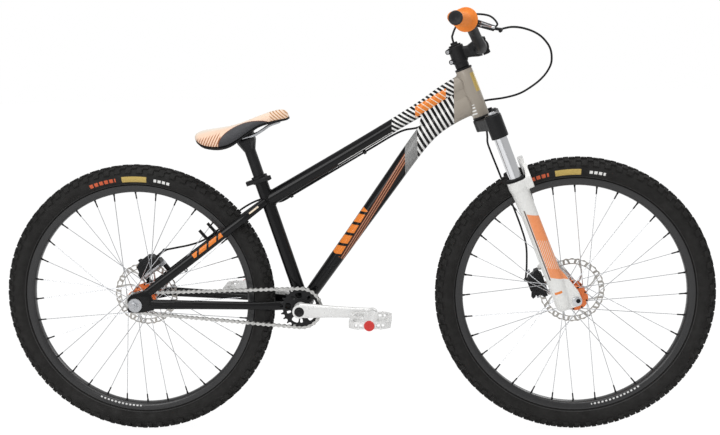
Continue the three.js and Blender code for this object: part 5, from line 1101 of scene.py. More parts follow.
def fork_white_finish():
    finish = Finish("fork_white_paint", (0.80, 0.80, 0.78), 0.26, Coat_Weight=0.5, Coat_Roughness=0.1)
    ahead, up = finish.measure(HEAD_FOOT, AHEAD_AXIS), finish.measure(HEAD_FOOT, HEAD_AXIS)
    outer_side = finish.beyond(finish.maths("ABSOLUTE", finish.measure(ORIGIN, Y_AXIS)), 0.062)
    slanted = finish.leant(up, ahead, 0.55)
    panel = finish.both(finish.between(slanted, -0.398, -0.236), finish.between(ahead, 0.0175, 0.06),
                        outer_side)
    finish.paint((0.88, 0.30, 0.11), panel)
    finish.paint((0.83, 0.62, 0.50), panel, finish.stripes(finish.leant(up, ahead, -1.1), 0.0072, 0.34),
                 finish.between(slanted, -0.372, -0.300))
    finish.paint((0.10, 0.055, 0.04), finish.between(slanted, -0.406, -0.228),
                 finish.between(ahead, 0.0135, 0.0165, 0.0004),
                 outer_side)
    finish.paint(PAINT_ORANGE, finish.between(up, -0.452, -0.446, 0.0004),
                 finish.between(ahead, 0.014, 0.032), outer_side)
    return finish.vary_roughness(60, 0.2, 0.32).material


def leg_parts(side):
    """One leg of the lowers with its flat foot and the round end that holds the axle."""
    rings = [ring_round(Vector((FORK_AHEAD + forward * LEG_RADIUS, side * LEG_OUT,
                                LEG_TOP - down * LEG_LENGTH)), Z_AXIS,
                        X_AXIS, LEG_RADIUS * deep, LEG_RADIUS * wide, 36)
             for down, forward, deep, wide in smooth_rows(LEG, 5)]
    back, low = FORK_AHEAD - 0.0055, AXLE_UP
    lug = [(back, low + 0.0966), (FORK_AHEAD + 0.020, low + 0.0966), (AXLE_AHEAD + 0.0113, low + 0.0214),
           (AXLE_AHEAD + 0.0126, low), (AXLE_AHEAD + 0.0088, low - 0.0088), (AXLE_AHEAD, low - 0.0126),
           (back, low - 0.0126)]
    return [loft(rings), prism(lug, "Y", side * 0.054, side * 0.068),
            bar_between((AXLE_AHEAD, side * 0.053, low), (AXLE_AHEAD, side * 0.068, low), 0.0126)]


def add_lowers():
    above = [(-0.082, -0.192), (-0.082, -0.165), (-0.0572, -0.1345), (-0.023, -0.126)]
    below = [(0.048, -0.192), (0.0395, -0.1565), (0.023, -0.143)]
    arch = [corner for half in (above, below) for corner in half + [(-y, up) for y, up in reversed(half)]]
    parts = [*leg_parts(-1), *leg_parts(1), prism(arch, "X", 0.044, 0.058)]
    for up in (-0.407, -0.475):
        parts.append(bar_between((FORK_AHEAD, 0.0556, up), (-0.0016, 0.0556, up), 0.0068))
    cutters = [bar_between((FORK_AHEAD, side * LEG_OUT, low), (FORK_AHEAD, side * LEG_OUT, -0.1), radius, 64)
               for side, _ in SIDES for low, radius in ((-0.39, 0.0154), (-0.1652, 0.0262))]
    cutters.append(bar_between((AXLE_AHEAD, -0.1, AXLE_UP), (AXLE_AHEAD, 0.1, AXLE_UP), 0.0078, 48))
    fused("fork_lowers_casting", parts, 0.0018, 9, STEERING, cutters, fork_white_finish(), "fork_lowers")


def add_turned(name, profile, place, material, node, segments=64, angle=32):
    """A turned piece about the third axis of its own place."""
    mesh = turned(profile, segments=segments)
    mesh.transform(place)
    add_piece(name, mesh, material, node, angle)


def add_fork():
    add_lowers()
    for side, name in SIDES:
        place = STEERING @ Matrix.Translation((FORK_AHEAD, side * LEG_OUT, 0))
        finish = chromed("stanchion_chrome_" + name)
        cap_top = 0.0003 if side < 0 else 0.02
        finish.paint(BOLT_BLACK, finish.between(finish.measure(HEAD_FOOT, HEAD_AXIS), -0.0029, cap_top))
        add_turned("stanchion_tube_" + name, STANCHION, place, finish.material, "stanchion_" + name)
        add_turned("dust_seal_rubber_" + name, DUST_SEAL, place, soft_black, "dust_seal_" + name)
    place = STEERING @ Matrix.Translation((AXLE_AHEAD, 0, AXLE_UP)) @ Matrix.Rotation(math.pi / 2, 4, "X")
    finish = silver("front_axle_silver")
    spot = finish.radius_from(place @ ORIGIN + Vector((0.0022, 0, 0.0016)))
    finish.paint(BOLT_BLACK, finish.maths("LESS_THAN", spot, 0.0052),
                 finish.between(finish.measure(ORIGIN, Y_AXIS), -0.08, -0.0718))
    add_turned("front_axle_turned", AXLE_SHAFT, place, finish.material, "front_axle")


def arc(cx, cy, radius, start, end, steps=16):
    turns = [math.radians(start + (end - start) * k / steps) for k in range(steps + 1)]
    return [(cx + radius * math.cos(a), cy + radius * math.sin(a)) for a in turns]


def add_crown():
    outline = arc(FORK_AHEAD, LEG_OUT, 0.0205, -20, 150) + arc(0, 0, 0.023, 140, 220)
    outline += arc(FORK_AHEAD, -LEG_OUT, 0.0205, -150, 20) + [(0.026, -0.0115), (0.026, 0.0115)]
    parts = [prism(outline, "Z", -0.034, -0.0062)]
    for y in (-LEG_OUT, LEG_OUT):
        parts.append(bar_between((FORK_AHEAD, y, -0.058), (FORK_AHEAD, y, -0.003), 0.0205, 64))
    parts.append(bar_between((0, 0, -0.034), (0, 0, -0.0056), 0.0195, 64))
    parts.append(bar_between((0, 0, -0.02), (0, 0, 0.1735), 0.0142, 64))
    cutters = [bar_between((FORK_AHEAD, y, -0.1), (FORK_AHEAD, y, 0.05), 0.0153, 64)
               for y in (-LEG_OUT, LEG_OUT)]
    cutters.append(bar_between((0, 0, -0.1), (0, 0, 0.2), 0.0108, 64))
    fused("fork_crown_forging", parts, 0.0013, 5, STEERING, cutters, part_black, "fork_crown")


# Stem, bar and grips: rows of the bar are place out, sweep back, rise and thickening, all in shares

BAR = [(0.1406, 0, 0, 1), (0.211, -0.02, 0.03, 0.85), (0.3126, -0.03, 0.12, 0.3), (0.4688, 0.04, 0.38, 0),
       (0.6564, 0.1, 0.68, 0), (0.7814, 0.16, 0.79, 0), (1, 0.38, 0.86, 0)]
BAR_HALF, BAR_STRAIGHT, BAR_SWEEP, BAR_RISE = 0.336, 0.121, 0.0315, 0.0856
BAR_RADIUS, BAR_BULGE = 0.0111, 0.0048
STEM_REACH, BAR_HEIGHT = 0.0535, 0.1514
STEM_FOOT, STEM_HIGH = 0.1343, 0.0403
FACE_AHEAD = 0.0559
GRIP_INNER, GRIP_OUTER = 0.213, 0.335
GRIP_RIBS, RIBS_FROM, RIBS_SHORT = 25, 0.0085, 0.0115
NECK = [(0, 0.15445, 0.013, 0.0145), (0.014, 0.1538, 0.0128, 0.0142), (0.0268, BAR_HEIGHT, 0.0135, 0.0146),
        (0.0430, BAR_HEIGHT, 0.0215, 0.0197), (0.0535, BAR_HEIGHT, 0.022, 0.021)]
STEM_BOLT = [(0, -0.0152), (0.0016, -0.0152), (0.0016, -0.0166), (0.0034, -0.0166), (0.0037, -0.0163),
             (0.0037, -0.0130),
             (0, -0.0130)]
FACE_SCREW = [(0, 0), (0.0052, 0), (0.0052, 0.0130), (0.0046, 0.0136), (0.0040, 0.0136), (0.0040, 0.0160),
              (0.0036, 0.0164), (0.0020, 0.0164), (0.0020, 0.0146), (0, 0.0146)]
STEM_CAP = [(0.003, 0.1749), (0.0142, 0.1749), (0.0147, 0.1754), (0.0147, 0.1772), (0.0138, 0.1782),
            (0.0087, 0.1783),
            (0.0085, 0.1790), (0.0085, 0.1830), (0.0078, 0.1839), (0.0036, 0.1839), (0.003, 0.1834)]
BAR_PLUG = [(0, 0.0003), (0.0146, 0.0003), (0.015, 0.0007), (0.015, 0.0030), (0.0143, 0.0038),
            (0.0060, 0.0041),
            (0.0052, 0.0036), (0, 0.0035)]
GRIP_FLANGE = [(0.0114, 0), (0.0255, 0), (0.0266, 0.0011), (0.0266, 0.0030), (0.0255, 0.0042),
               (0.0200, 0.0048),
               (0.0166, 0.0066)]


def bar_rows():
    """The bar's points ahead, left and up of the steering's foot, each with its radius."""
    bent = BAR_HALF - BAR_STRAIGHT
    half = [(out * bent, back, rise, thick) for out, back, rise, thick in BAR] + [(BAR_HALF, 1, 1, 0)]
    rows = [(-y, *rest) for y, *rest in reversed(half)] + half
    return [(STEM_REACH - back * BAR_SWEEP, y, BAR_HEIGHT + rise * BAR_RISE, BAR_RADIUS + thick * BAR_BULGE)
            for y, back, rise, thick in rows]


def bar_at(y):
    rows = bar_rows()
    for a, b in zip(rows, rows[1:]):
        if a[1] <= y <= b[1]:
            return Vector(a[:3]).lerp(Vector(b[:3]), (y - a[1]) / (b[1] - a[1]))


def bar_clamp(half_width, radius, sides):
    """A round bar about the handlebar's middle."""
    return bar_through(Vector((STEM_REACH, 0, BAR_HEIGHT)), Y_AXIS, radius, half_width, sides)


def block(near, far, half_width):
    """A tall block between two places ahead of the steering axis."""
    outline = [(near, -half_width), (far, -half_width), (far, half_width), (near, half_width)]
    return prism(outline, "Z", 0.1, 0.2)


def heading_turn(axis):
    return axis.normalized().to_track_quat("Z", "Y").to_matrix().to_4x4()


def add_stem():
    parts = [bar_between((0, 0, 0.1214), (0, 0, 0.136), 0.0164, 64),
             bar_between((0, 0, STEM_FOOT), (0, 0, 0.1746), 0.0186, 64),
             loft([squircle(Vector((x, 0, z)), Y_AXIS, Z_AXIS, w, h, 3.4) for x, z, w, h in NECK])]
    bolts = []
    for share in (0.2, 0.82):
        z = STEM_FOOT + share * STEM_HIGH
        parts.append(bar_between((-0.021, -0.0131, z), (-0.021, 0.0131, z), 0.0057))
        bolts.append(turned(STEM_BOLT, Vector((-0.021, 0, z)), Y_AXIS, 24))
    cutters = [bar_between((0, 0, 0.1), (0, 0, 0.2), 0.01445, 64), bar_clamp(0.04, 0.0161, 64),
               block(-0.05, 0, 0.0008),
               block(STEM_REACH, 0.1, 0.05)]
    fused("stem_forging", parts, 0.0011, 4, STEERING, cutters, part_black, "stem")
    heads = joined(*bolts)
    heads.transform(STEERING)
    add_piece("stem_bolt_heads", heads, bright_silver, None, 30, "steering")
    shell = linked("stem_faceplate_shell", bar_clamp(0.022, 0.021, 96))
    cut_with(shell, bar_clamp(0.04, 0.0161, 96), block(0, FACE_AHEAD, 0.05))
    screws = []
    for y in (-0.015, 0.015):
        for z in (BAR_HEIGHT - 0.0155, BAR_HEIGHT + 0.0155):
            screws.append(turned(FACE_SCREW, segments=28))
            screws[-1].transform(Matrix.Translation((FACE_AHEAD, y, z)) @ Matrix.Rotation(math.pi / 2, 4,
                                                                                          "Y"))
    finished(shell, part_black, "stem_faceplate", 35, None, screws)
    shell.data.transform(STEERING)
    add_turned("stem_cap_rubber", STEM_CAP, STEERING, soft_black, "stem_cap")


def add_bar():
    rows = smooth_rows(bar_rows(), 6)
    parts = [swept([Vector(row[:3]) for row in rows], [row[3] for row in rows], 36)]
    for side, _ in SIDES:
        end = bar_at(side * BAR_HALF)
        parts.append(turned(BAR_PLUG, segments=48))
        parts[-1].transform(Matrix.Translation(end) @ heading_turn(end - bar_at(side * 0.274)))
    mesh = joined(*parts)
    mesh.transform(STEERING)
    finish = satin_black("handlebar_dark_grey").mottle(40, (0.028, 0.028, 0.031), 0.5)
    add_piece("handlebar_tube", mesh, finish.material, "handlebar")
    orange_rubber = rubber("grip_orange_rubber", (0.84, 0.26, 0.045), 800).material
    for side, name in SIDES:
        start, end = bar_at(side * GRIP_INNER), bar_at(side * GRIP_OUTER)
        length = (end - start).length
        pitch = (length - RIBS_SHORT) / GRIP_RIBS
        ribs = [(radius, RIBS_FROM + (k + share) * pitch) for k in range(GRIP_RIBS)
                for radius, share in ((0.0146, 0), (0.0156, 0.28), (0.0156, 0.66), (0.0146, 0.92))]
        outer_end = [(0.0156, length - 0.0024), (0.0156, length - 0.0006), (0.0150, length), (0.0114, length)]
        place = STEERING @ Matrix.Translation(start) @ heading_turn(end - start)
        add_turned("grip_rubber_" + name, GRIP_FLANGE + ribs + outer_end, place, orange_rubber,
                   "grip_" + name,
                   56, 28)


# Brake levers and their perches: rows of the blade are place out, reach ahead and size, all in shares

PERCH_OUT = 0.190
LEVER_PIVOT = Vector((0.024, 0.012, -0.018))
LEVER_ROWS = [(0, 0, 1), (0.16, 0.3, 1), (0.4, 0.62, 0.8), (0.7, 0.84, 0.66), (0.93, 1, 0.62), (1, 1.0, 0.74)]
LEVER_LENGTH, LEVER_REACH, LEVER_BACK = 0.093, 0.023, 0.006
CABLE_START, CABLE_NEXT = Vector((0.107, 0.168, 0.177)), Vector((0.116, 0.142, 0.184))
ADJUSTER = [(0, 0), (0.0036, 0), (0.0046, 0.0008), (0.0046, 0.0052), (0.0038, 0.0060), (0.0038, 0.0090),
            (0, 0.0090)]


def lever_blade():
    """The left lever's blade with its pivot bolt."""
    pivot = bar_at(PERCH_OUT) + LEVER_PIVOT
    ahead = Vector((LEVER_PIVOT.x, 0, LEVER_PIVOT.z)).normalized()
    normal = Vector((-LEVER_PIVOT.z, 0, LEVER_PIVOT.x)).normalized()
    rings = [squircle(pivot + Y_AXIS * (out * LEVER_LENGTH - LEVER_BACK) + ahead * (reach * LEVER_REACH),
                      ahead, normal,
                      0.006 * size, 0.0037 * size, 2.8) for out, reach, size in smooth_rows(LEVER_ROWS, 6)]
    tip = rings[-1]
    centre = sum(tip, Vector()) / len(tip)
    for out, scale in ((0.0016, 0.8), (0.0026, 0.4)):
        rings.append([centre + (corner - centre) * scale + Y_AXIS * out for corner in tip])
    return joined(loft(rings), bar_between(pivot - normal * 0.0052, pivot + normal * 0.0052, 0.0030, 24))


def add_levers():
    heading = CABLE_START - CABLE_NEXT
    for side, name in SIDES:
        blade, barrel = lever_blade(), turned(ADJUSTER, segments=16)
        barrel.transform(Matrix.Translation(CABLE_START + heading.normalized() * 0.0028) @ heading_turn(heading))
        set_on_side(side, STEERING, blade, barrel)
        add_piece("brake_lever_blade_" + name, blade, bright_silver, "brake_lever_" + name, 40)
        cast_from("brake_perch_" + name, 0.0010, 4, part_black, [barrel])


add_fork()
add_crown()
add_stem()
add_bar()
add_levers()

# Saddle and post: rows of the saddle are place along, width, crown, edge and belly, all in shares

SADDLE_ROWS = [
    (-0.491, 0.42, 0.74, 0.58, 0.62), (-0.465, 0.66, 0.83, 0.42, 0.56), (-0.391, 0.89, 0.83, 0.12, 0.44),
    (-0.252, 1, 0.76, -0.12, 0.36), (-0.13, 0.97, 0.71, -0.14, 0.33), (-0.022, 0.78, 0.72, 0.02, 0.33),
    (0.087, 0.56, 0.76, 0.24, 0.36), (0.196, 0.4, 0.82, 0.38, 0.42), (0.326, 0.31, 0.86, 0.4, 0.44),
    (0.435, 0.25, 0.84, 0.36, 0.4), (0.487, 0.17, 0.72, 0.35, 0.4), (0.504, 0.07, 0.55, 0.4, 0.44),
]
CROWN = [(-0.985, 0.2), (-0.93, 0.58), (-0.72, 0.86), (-0.42, 0.99), (0, 1), (0.42, 0.99), (0.72, 0.86),
         (0.93, 0.58),
         (0.985, 0.2)]
BELLY = [(0.93, 0.02), (0.6, 0.72), (0, 1), (-0.6, 0.72), (-0.93, 0.02)]
SADDLE_LENGTH, SADDLE_HALF, SADDLE_HEIGHT = 0.230, 0.072, 0.050
RAIL = [(-0.37, 1, 0.36), (-0.33, 1, 0.28), (-0.24, 1, 0.14), (-0.15, 1, 0), (0, 1, 0), (0.11, 1, 0),
        (0.19, 0.8, 0.24), (0.28, 0.5, 0.38), (0.36, 0.34, 0.42), (0.385, 0.12, 0.42)]
RAIL_OUT, RAIL_DROP, RAIL_RADIUS = 0.022, 0.0071, 0.0035
COLLAR = [(0.0163, 0.316), (0.0190, 0.316), (0.0196, 0.3166), (0.0196, 0.3324), (0.0190, 0.333),
          (0.0163, 0.333)]
CLAMP_BACK, CLAMP_UP = -0.0291, 0.323
CLAMP_LEVER = [(-0.04, 0, 0.7, 0.44), (0, 0, 0.75, 1), (0.33, 0.5, 0.9, 1), (0.64, 1, 1.2, 1),
               (0.87, 0.95, 1.4, 1),
               (1, 0.75, 1.1, 1)]


def saddle_finish():
    finish = Finish("saddle_peach_cover", (0.86, 0.60, 0.44), 0.6, Sheen_Weight=0.2)
    centre = saddle_at(0, 0, 0)
    along = finish.measure(centre, saddle_at(1, 0, 0) - centre)
    up = finish.measure(centre, saddle_at(0, 0, 1) - centre)
    across = finish.maths("ABSOLUTE", finish.measure(centre, Y_AXIS))
    finish.paint((0.80, 0.71, 0.60), finish.between(finish.leant(across, along, 0.16), -0.1, 0.024, 0.014))
    finish.paint((0.40, 0.15, 0.06), finish.stripes(finish.leant(along, up, -0.8), 0.0078, 0.42),
                 finish.between(along, -0.108, -0.045), finish.between(up, -0.02, 0.027, 0.003),
                 finish.between(across, 0.012, 0.09, 0.003))
    finish.paint((0.46, 0.23, 0.09), finish.stripes(finish.leant(along, up, 0.7), 0.0074, 0.42),
                 finish.between(along, 0.074, 0.13, 0.002), finish.between(across, 0.003, 0.09, 0.002))
    wide = finish.maths("DIVIDE", finish.maths("SUBTRACT", along, 0.015), 0.069)
    high = finish.maths("DIVIDE", finish.maths("ADD", up, 0.003), 0.037)
    oval, flank = finish.sum_of_squares(wide, high), finish.beyond(across, 0.009)
    finish.paint((0.10, 0.03, 0.015), finish.maths("LESS_THAN", oval, 1.05), flank)
    finish.paint((0.034, 0.035, 0.040), finish.maths("LESS_THAN", oval, 0.97), flank)
    finish.vary_roughness(60, 0.5, 0.68)
    return finish.bump(finish.noise(1100), 0.12, 0.0004).material


def belly_line(half, edge, belly, drop):
    return [(y * half, edge + rise * (belly - edge) - drop) for y, rise in BELLY]


def cover_section(half, crown, edge, belly):
    return [(y * half, edge + rise * (crown - edge)) for y, rise in CROWN] + belly_line(half, edge, belly, 0)


def base_section(half, _, edge, belly):
    return belly_line(half * 1.04, edge, belly, 0.0002) + belly_line(half * 1.03, edge, belly, 0.0038)[::-1]


def saddle_skin(section):
    """A closed skin along the saddle, whose section gets the half width, crown, edge and belly."""
    rings = []
    for along, wide, *levels in smooth_rows(SADDLE_ROWS, 3):
        line = section(wide * SADDLE_HALF, *[level * SADDLE_HEIGHT for level in levels])
        rings.append([Vector((along * SADDLE_LENGTH, y, z)) for y, z in line])
    mesh = loft(rings)
    mesh.transform(SADDLE)
    return mesh


def add_saddle():
    piece = linked("saddle_cover", saddle_skin(cover_section))
    soft = piece.modifiers.new("soft", "SUBSURF")
    soft.levels = soft.render_levels = 2
    apply_modifiers(piece)
    finished(piece, saddle_finish(), "saddle_cushion", 75)
    add_piece("saddle_base_shell", saddle_skin(base_section), part_black, "saddle_base", 40)
    left = [(along * SADDLE_LENGTH, out * RAIL_OUT, share * SADDLE_HEIGHT - RAIL_DROP if share else 0)
            for along, out, share in RAIL]
    points = [Vector(row) for row in smooth_rows(left + [(x, -y, z) for x, y, z in reversed(left)], 6)]
    rod = swept(points, [RAIL_RADIUS] * len(points), 16)
    rod.transform(SADDLE)
    add_piece("saddle_rail_rod", rod, dull_silver, "saddle_rails", 40)
    shaft = bar_between(seat_at(0, 0, 0.196), seat_at(0, 0, 0.402), 0.0136, 64)
    neck = bar_between(seat_at(0, 0, 0.3975), saddle_at(0, 0, -0.011), 0.0137, 48, 0.0172)
    cast_from("seatpost", 0.0011, 5, part_black, (), (shaft, neck))
    nuts = [bar_between(saddle_at(x, 0, 0.0075), saddle_at(x, 0, 0.0122), 0.0052, 6)
            for x in (-0.0152, 0.0152)]
    add_piece("saddle_clamp_nuts", joined(*nuts), dull_silver, None, 30,
              nodes["seatpost"]["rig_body"])


def add_seat_clamp():
    parts = [turned(COLLAR, BOTTOM_BRACKET, SEAT_AXIS, 72)]
    for side, _ in SIDES:
        y0, y1 = sorted((side * 0.0015, side * 0.009))
        ear = [(-0.0170, y0), (-0.0170, y1), (-0.0325, y1), (-0.0352, y1 - side * 0.001),
               (-0.0352, y0 + 0.0004), (-0.0325, y0)]
        parts.append(loft([[seat_at(x, y, z) for x, y in ear] for z in (0.3178, 0.3282)]))
    for start, radius, sides in ((-0.0124, 0.0034, 32), (0.0092, 0.0052, 20)):
        ends = [seat_at(CLAMP_BACK, y, CLAMP_UP) for y in (start, 0.0124)]
        parts.append(bar_between(*ends, radius, sides))
    add_piece("seat_clamp_collar", joined(*parts), part_black, "seat_clamp")
    rings = [squircle(seat_at(CLAMP_BACK + along * 0.060, -0.0154 - bow * 0.009, CLAMP_UP), Y_AXIS, SEAT_AXIS,
                      0.0025 * thick, 0.0045 * high, 3) for along, bow, high,
                      thick in smooth_rows(CLAMP_LEVER, 6)]
    add_piece("seat_clamp_lever_blade", loft(rings), part_black, "seat_clamp_lever", 45)


# Chain and sprockets

ROLLER_RADIUS = 0.0039
TOOTH_REACH, SPROCKET_HALF = 0.0034, 0.0012
TOOTH = [(0.40, 0.72), (0.46, 0.96), (0.54, 0.96), (0.60, 0.72)]
RING_HUB = [(0.0119, -0.0517), (0.0204, -0.0517), (0.0209, -0.0511), (0.0209, -0.0490), (0.0119, -0.0490)]
RING_ARMS = 5


def roller_place(count):
    """Where a roller stands, counted in links from where the chain leaves the chainring at the top."""
    lean, straight, on_cog, _ = chain_wrap(DRIVE_LENGTH)
    upper, top = straight / CHAIN_PITCH, math.pi / 2 - lean
    ring, cog = pitch_radius(RING_TEETH), pitch_radius(COG_TEETH)

    def place(angle, radius, centre, past=0.0):
        """A point on a sprocket's round, or past it by a distance on the straight run."""
        heading = angle - math.pi / 2
        return (centre + radius * math.cos(angle) + past * math.cos(heading),
                radius * math.sin(angle) + past * math.sin(heading))

    if count < upper:
        x, y = place(top, ring, 0, count * CHAIN_PITCH)
    elif count < upper + on_cog:
        x, y = place(top - (count - upper) * 2 * math.pi / COG_TEETH, cog, DRIVE_LENGTH)
    elif count < 2 * upper + on_cog:
        x, y = place(-top, cog, DRIVE_LENGTH, (count - upper - on_cog) * CHAIN_PITCH)
    else:
        x, y = place(-top - (count - 2 * upper - on_cog) * 2 * math.pi / RING_TEETH, ring, 0)
    slope = math.asin(AXLE_DROP / DRIVE_LENGTH)
    c, s = math.cos(slope), math.sin(slope)
    return Vector((BOTTOM_BRACKET.x - x * c + y * s, CHAIN_LINE, BOTTOM_BRACKET.z + x * s + y * c))


ROLLERS = [roller_place(i + 0.5) for i in range(CHAIN_LINKS)]


def link_outline(radius, waist, steps=8):
    turns = [math.radians(-125 + 250 * k / steps) for k in range(steps + 1)]
    right = [(CHAIN_PITCH / 2 + radius * math.cos(a), radius * math.sin(a)) for a in turns]
    return right + [(0, waist)] + [(-x, -y) for x, y in right] + [(0, -waist)]


def link_mesh(inner):
    near, far = (0.00188, 0.00272) if inner else (0.00284, 0.00372)
    reach, radius, sides = (0.0018, ROLLER_RADIUS, 14) if inner else (0.0041, 0.0018, 10)
    plates = [prism(link_outline(0.0043, 0.0019), "Y", low, high) for low,
              high in ((-far, -near), (near, far))]
    return joined(*plates, *[bar_between((x, -reach, 0), (x, reach, 0), radius, sides)
                             for x in (-CHAIN_PITCH / 2, CHAIN_PITCH / 2)])


def add_chain():
    outer, inner = linked("outer_link", link_mesh(False)), linked("inner_link", link_mesh(True))
    steel = silver("chain_bright_steel", (0.66, 0.655, 0.64), 0.24, 0.4).mottle(170, (0.30, 0.30, 0.29), 1.2)
    made_by(CHAIN_LINK_GROUP, "chain_of_links", line_mesh(ROLLERS), steel.material, "chain", "steel", 30,
            Outer_Link=outer, Inner_Link=inner)
    bpy.data.objects.remove(outer)
    bpy.data.objects.remove(inner)


def toothed_outline(teeth, first):
    """A sprocket's edge: a round seat for each roller and a rounded tooth between two seats."""
    radius, step, seat = pitch_radius(teeth), 2 * math.pi / teeth, ROLLER_RADIUS + 0.0002
    outline = []
    for k in range(teeth):
        angle = first + k * step
        out = Vector((math.cos(angle), math.sin(angle)))
        side = Vector((-out.y, out.x))
        for a in map(math.radians, range(-60, 61, 20)):
            outline.append(out * (radius - seat * math.cos(a)) + side * (seat * math.sin(a)))
        for share, height in TOOTH:
            a = angle + share * step
            outline.append(Vector((math.cos(a), math.sin(a))) * (radius + TOOTH_REACH * height))
    return outline


def sprocket(node, centre, teeth, roller, bore, windows, extra, material):
    """A toothed plate with a tooth's gap at one of the chain's rollers."""
    first = math.atan2(roller.z - centre.z, roller.x - centre.x)
    outline = [(centre.x + corner.x, centre.z + corner.y) for corner in toothed_outline(teeth, first)]
    piece = linked(node + "_plate",
                   prism(outline, "Y", CHAIN_LINE - SPROCKET_HALF, CHAIN_LINE + SPROCKET_HALF))
    cut_with(piece, *windows, bar_through(Vector((centre.x, CHAIN_LINE, centre.z)), Y_AXIS, bore, 0.01))
    bevelled(piece, 0.00035, 1)
    finished(piece, material, node, 32, None, extra)


def oval_window(middle, half_deep, angle, spread, steps=24):
    outline = []
    for c, s in round_steps(steps):
        r = middle + half_deep * power_of(s, 0.62)
        a = angle + spread * power_of(c, 0.62)
        outline.append((BOTTOM_BRACKET.x + r * math.cos(a), BOTTOM_BRACKET.z + r * math.sin(a)))
    return prism(outline, "Y", CHAIN_LINE - 0.01, CHAIN_LINE + 0.01)


def add_sprockets():
    windows, extra = [], [turned(RING_HUB, BOTTOM_BRACKET, Y_AXIS, 56)]
    for k in range(RING_ARMS):
        middle = 2 * math.pi * (k + 0.5) / RING_ARMS
        windows.append(oval_window(0.032, 0.0068, middle - 0.16, 0.25))
        windows.append(oval_window(0.0315, 0.0052, middle + 0.30, 0.10))
        a = 2 * math.pi * k / RING_ARMS + 0.1
        at = Vector((BOTTOM_BRACKET.x + 0.0172 * math.cos(a), -0.0520,
                     BOTTOM_BRACKET.z + 0.0172 * math.sin(a)))
        extra.append(bar_between(at, at + Y_AXIS * 0.002, 0.0024, 12))
    sprocket("chainring", BOTTOM_BRACKET, RING_TEETH, ROLLERS[-1], 0.0119, windows, extra, part_black)
    straight = chain_wrap(DRIVE_LENGTH)[1]
    on_cog = next(at for i, at in enumerate(ROLLERS) if i * CHAIN_PITCH > straight + CHAIN_PITCH)
    low, high = (corner[1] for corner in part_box("rear_cog"))
    body = [(0.0106, low), (0.0164, low), (0.0170, low + 0.0006), (0.0170, high - 0.0004), (0.0166, high),
            (0.0106, high)]
    sprocket("rear_cog", REAR_AXLE, COG_TEETH, on_cog, 0.0106, (), [turned(body, REAR_AXLE, Y_AXIS, 48)],
             dull_silver)


# Cranks and pedals: rows of the crank are place along, half height, place out and half thickness

CRANK_LENGTH = 0.175
CRANK_DROP = math.radians(1.6)
CRANK_ROWS = [(0.0, 0.0185, 0.0800, 0.0078), (0.03, 0.0168, 0.0805, 0.0077), (0.08, 0.0142, 0.0812, 0.0074),
              (0.13, 0.0128, 0.0822, 0.0070), (0.175, 0.0124, 0.0832, 0.0068)]
PEDAL_HALF, PEDAL_INNER, PEDAL_OUTER = 0.048, 0.100, 0.198
PEDAL_MIDDLE = (PEDAL_INNER + PEDAL_OUTER) / 2
PEDAL_CORNER, PEDAL_CAGE, WINDOW_CORNER = 0.014, 0.009, 0.007
SPINDLE = mirrored_profile([(0, -0.0912), (0.0036, -0.0912), (0.0036, -0.0898), (0.0074, -0.0912),
                            (0.0084, -0.0904),
                            (0.0084, -0.0888), (0.0117, -0.0886)])
CUPS = mirrored_profile([(0.0121, 0.0448), (0.0205, 0.0448), (0.0215, 0.0440), (0.0215, 0.0372),
                         (0.0211, 0.0368),
                         (0.0168, 0.0368), (0.0168, 0.0281), (0.0138, 0.0281)])


def white_metal(name):
    finish = Finish(name, (0.80, 0.80, 0.79), 0.3, 0.25, Coat_Weight=0.3, Coat_Roughness=0.15)
    return finish.mottle(40, (0.70, 0.70, 0.70), 0.5).vary_roughness(90, 0.24, 0.38).material


def pedal_holes():
    """The four windows of a pedal's cage, and slots through its thickness all round."""
    holes, inner, outer, middle, cage = [], PEDAL_INNER, PEDAL_OUTER, PEDAL_MIDDLE, PEDAL_CAGE

    def slot_through(near, far, low, high):
        holes.append(prism([(near, low), (far, low), (far, high), (near, high)], "Z", -0.0038, 0.0038))

    for end in (-1, 1):
        near, far, slant = end * (0.0116 + cage / 2), end * (PEDAL_HALF - cage), end * WINDOW_CORNER
        for low, high in ((inner + cage, middle - cage / 2), (middle + cage / 2, outer - cage)):
            window = [(near, low), (far - slant, low), (far, low + WINDOW_CORNER),
                      (far, high - WINDOW_CORNER),
                      (far - slant, high), (near, high)]
            holes.append(prism(window, "Z", -0.02, 0.02))
        for low, high in ((inner + 0.018, inner + 0.030), (inner + 0.036, middle - 0.007),
                          (middle + 0.007, outer - 0.036), (outer - 0.030, outer - 0.018)):
            slot_through(end * 0.030, end * 0.060, low, high)
        for low, high in ((0.016, 0.0235), (0.0265, 0.034)):
            for base in (inner - 0.01, outer - 0.0105):
                slot_through(end * low, end * high, base, base + 0.0205)
    return holes


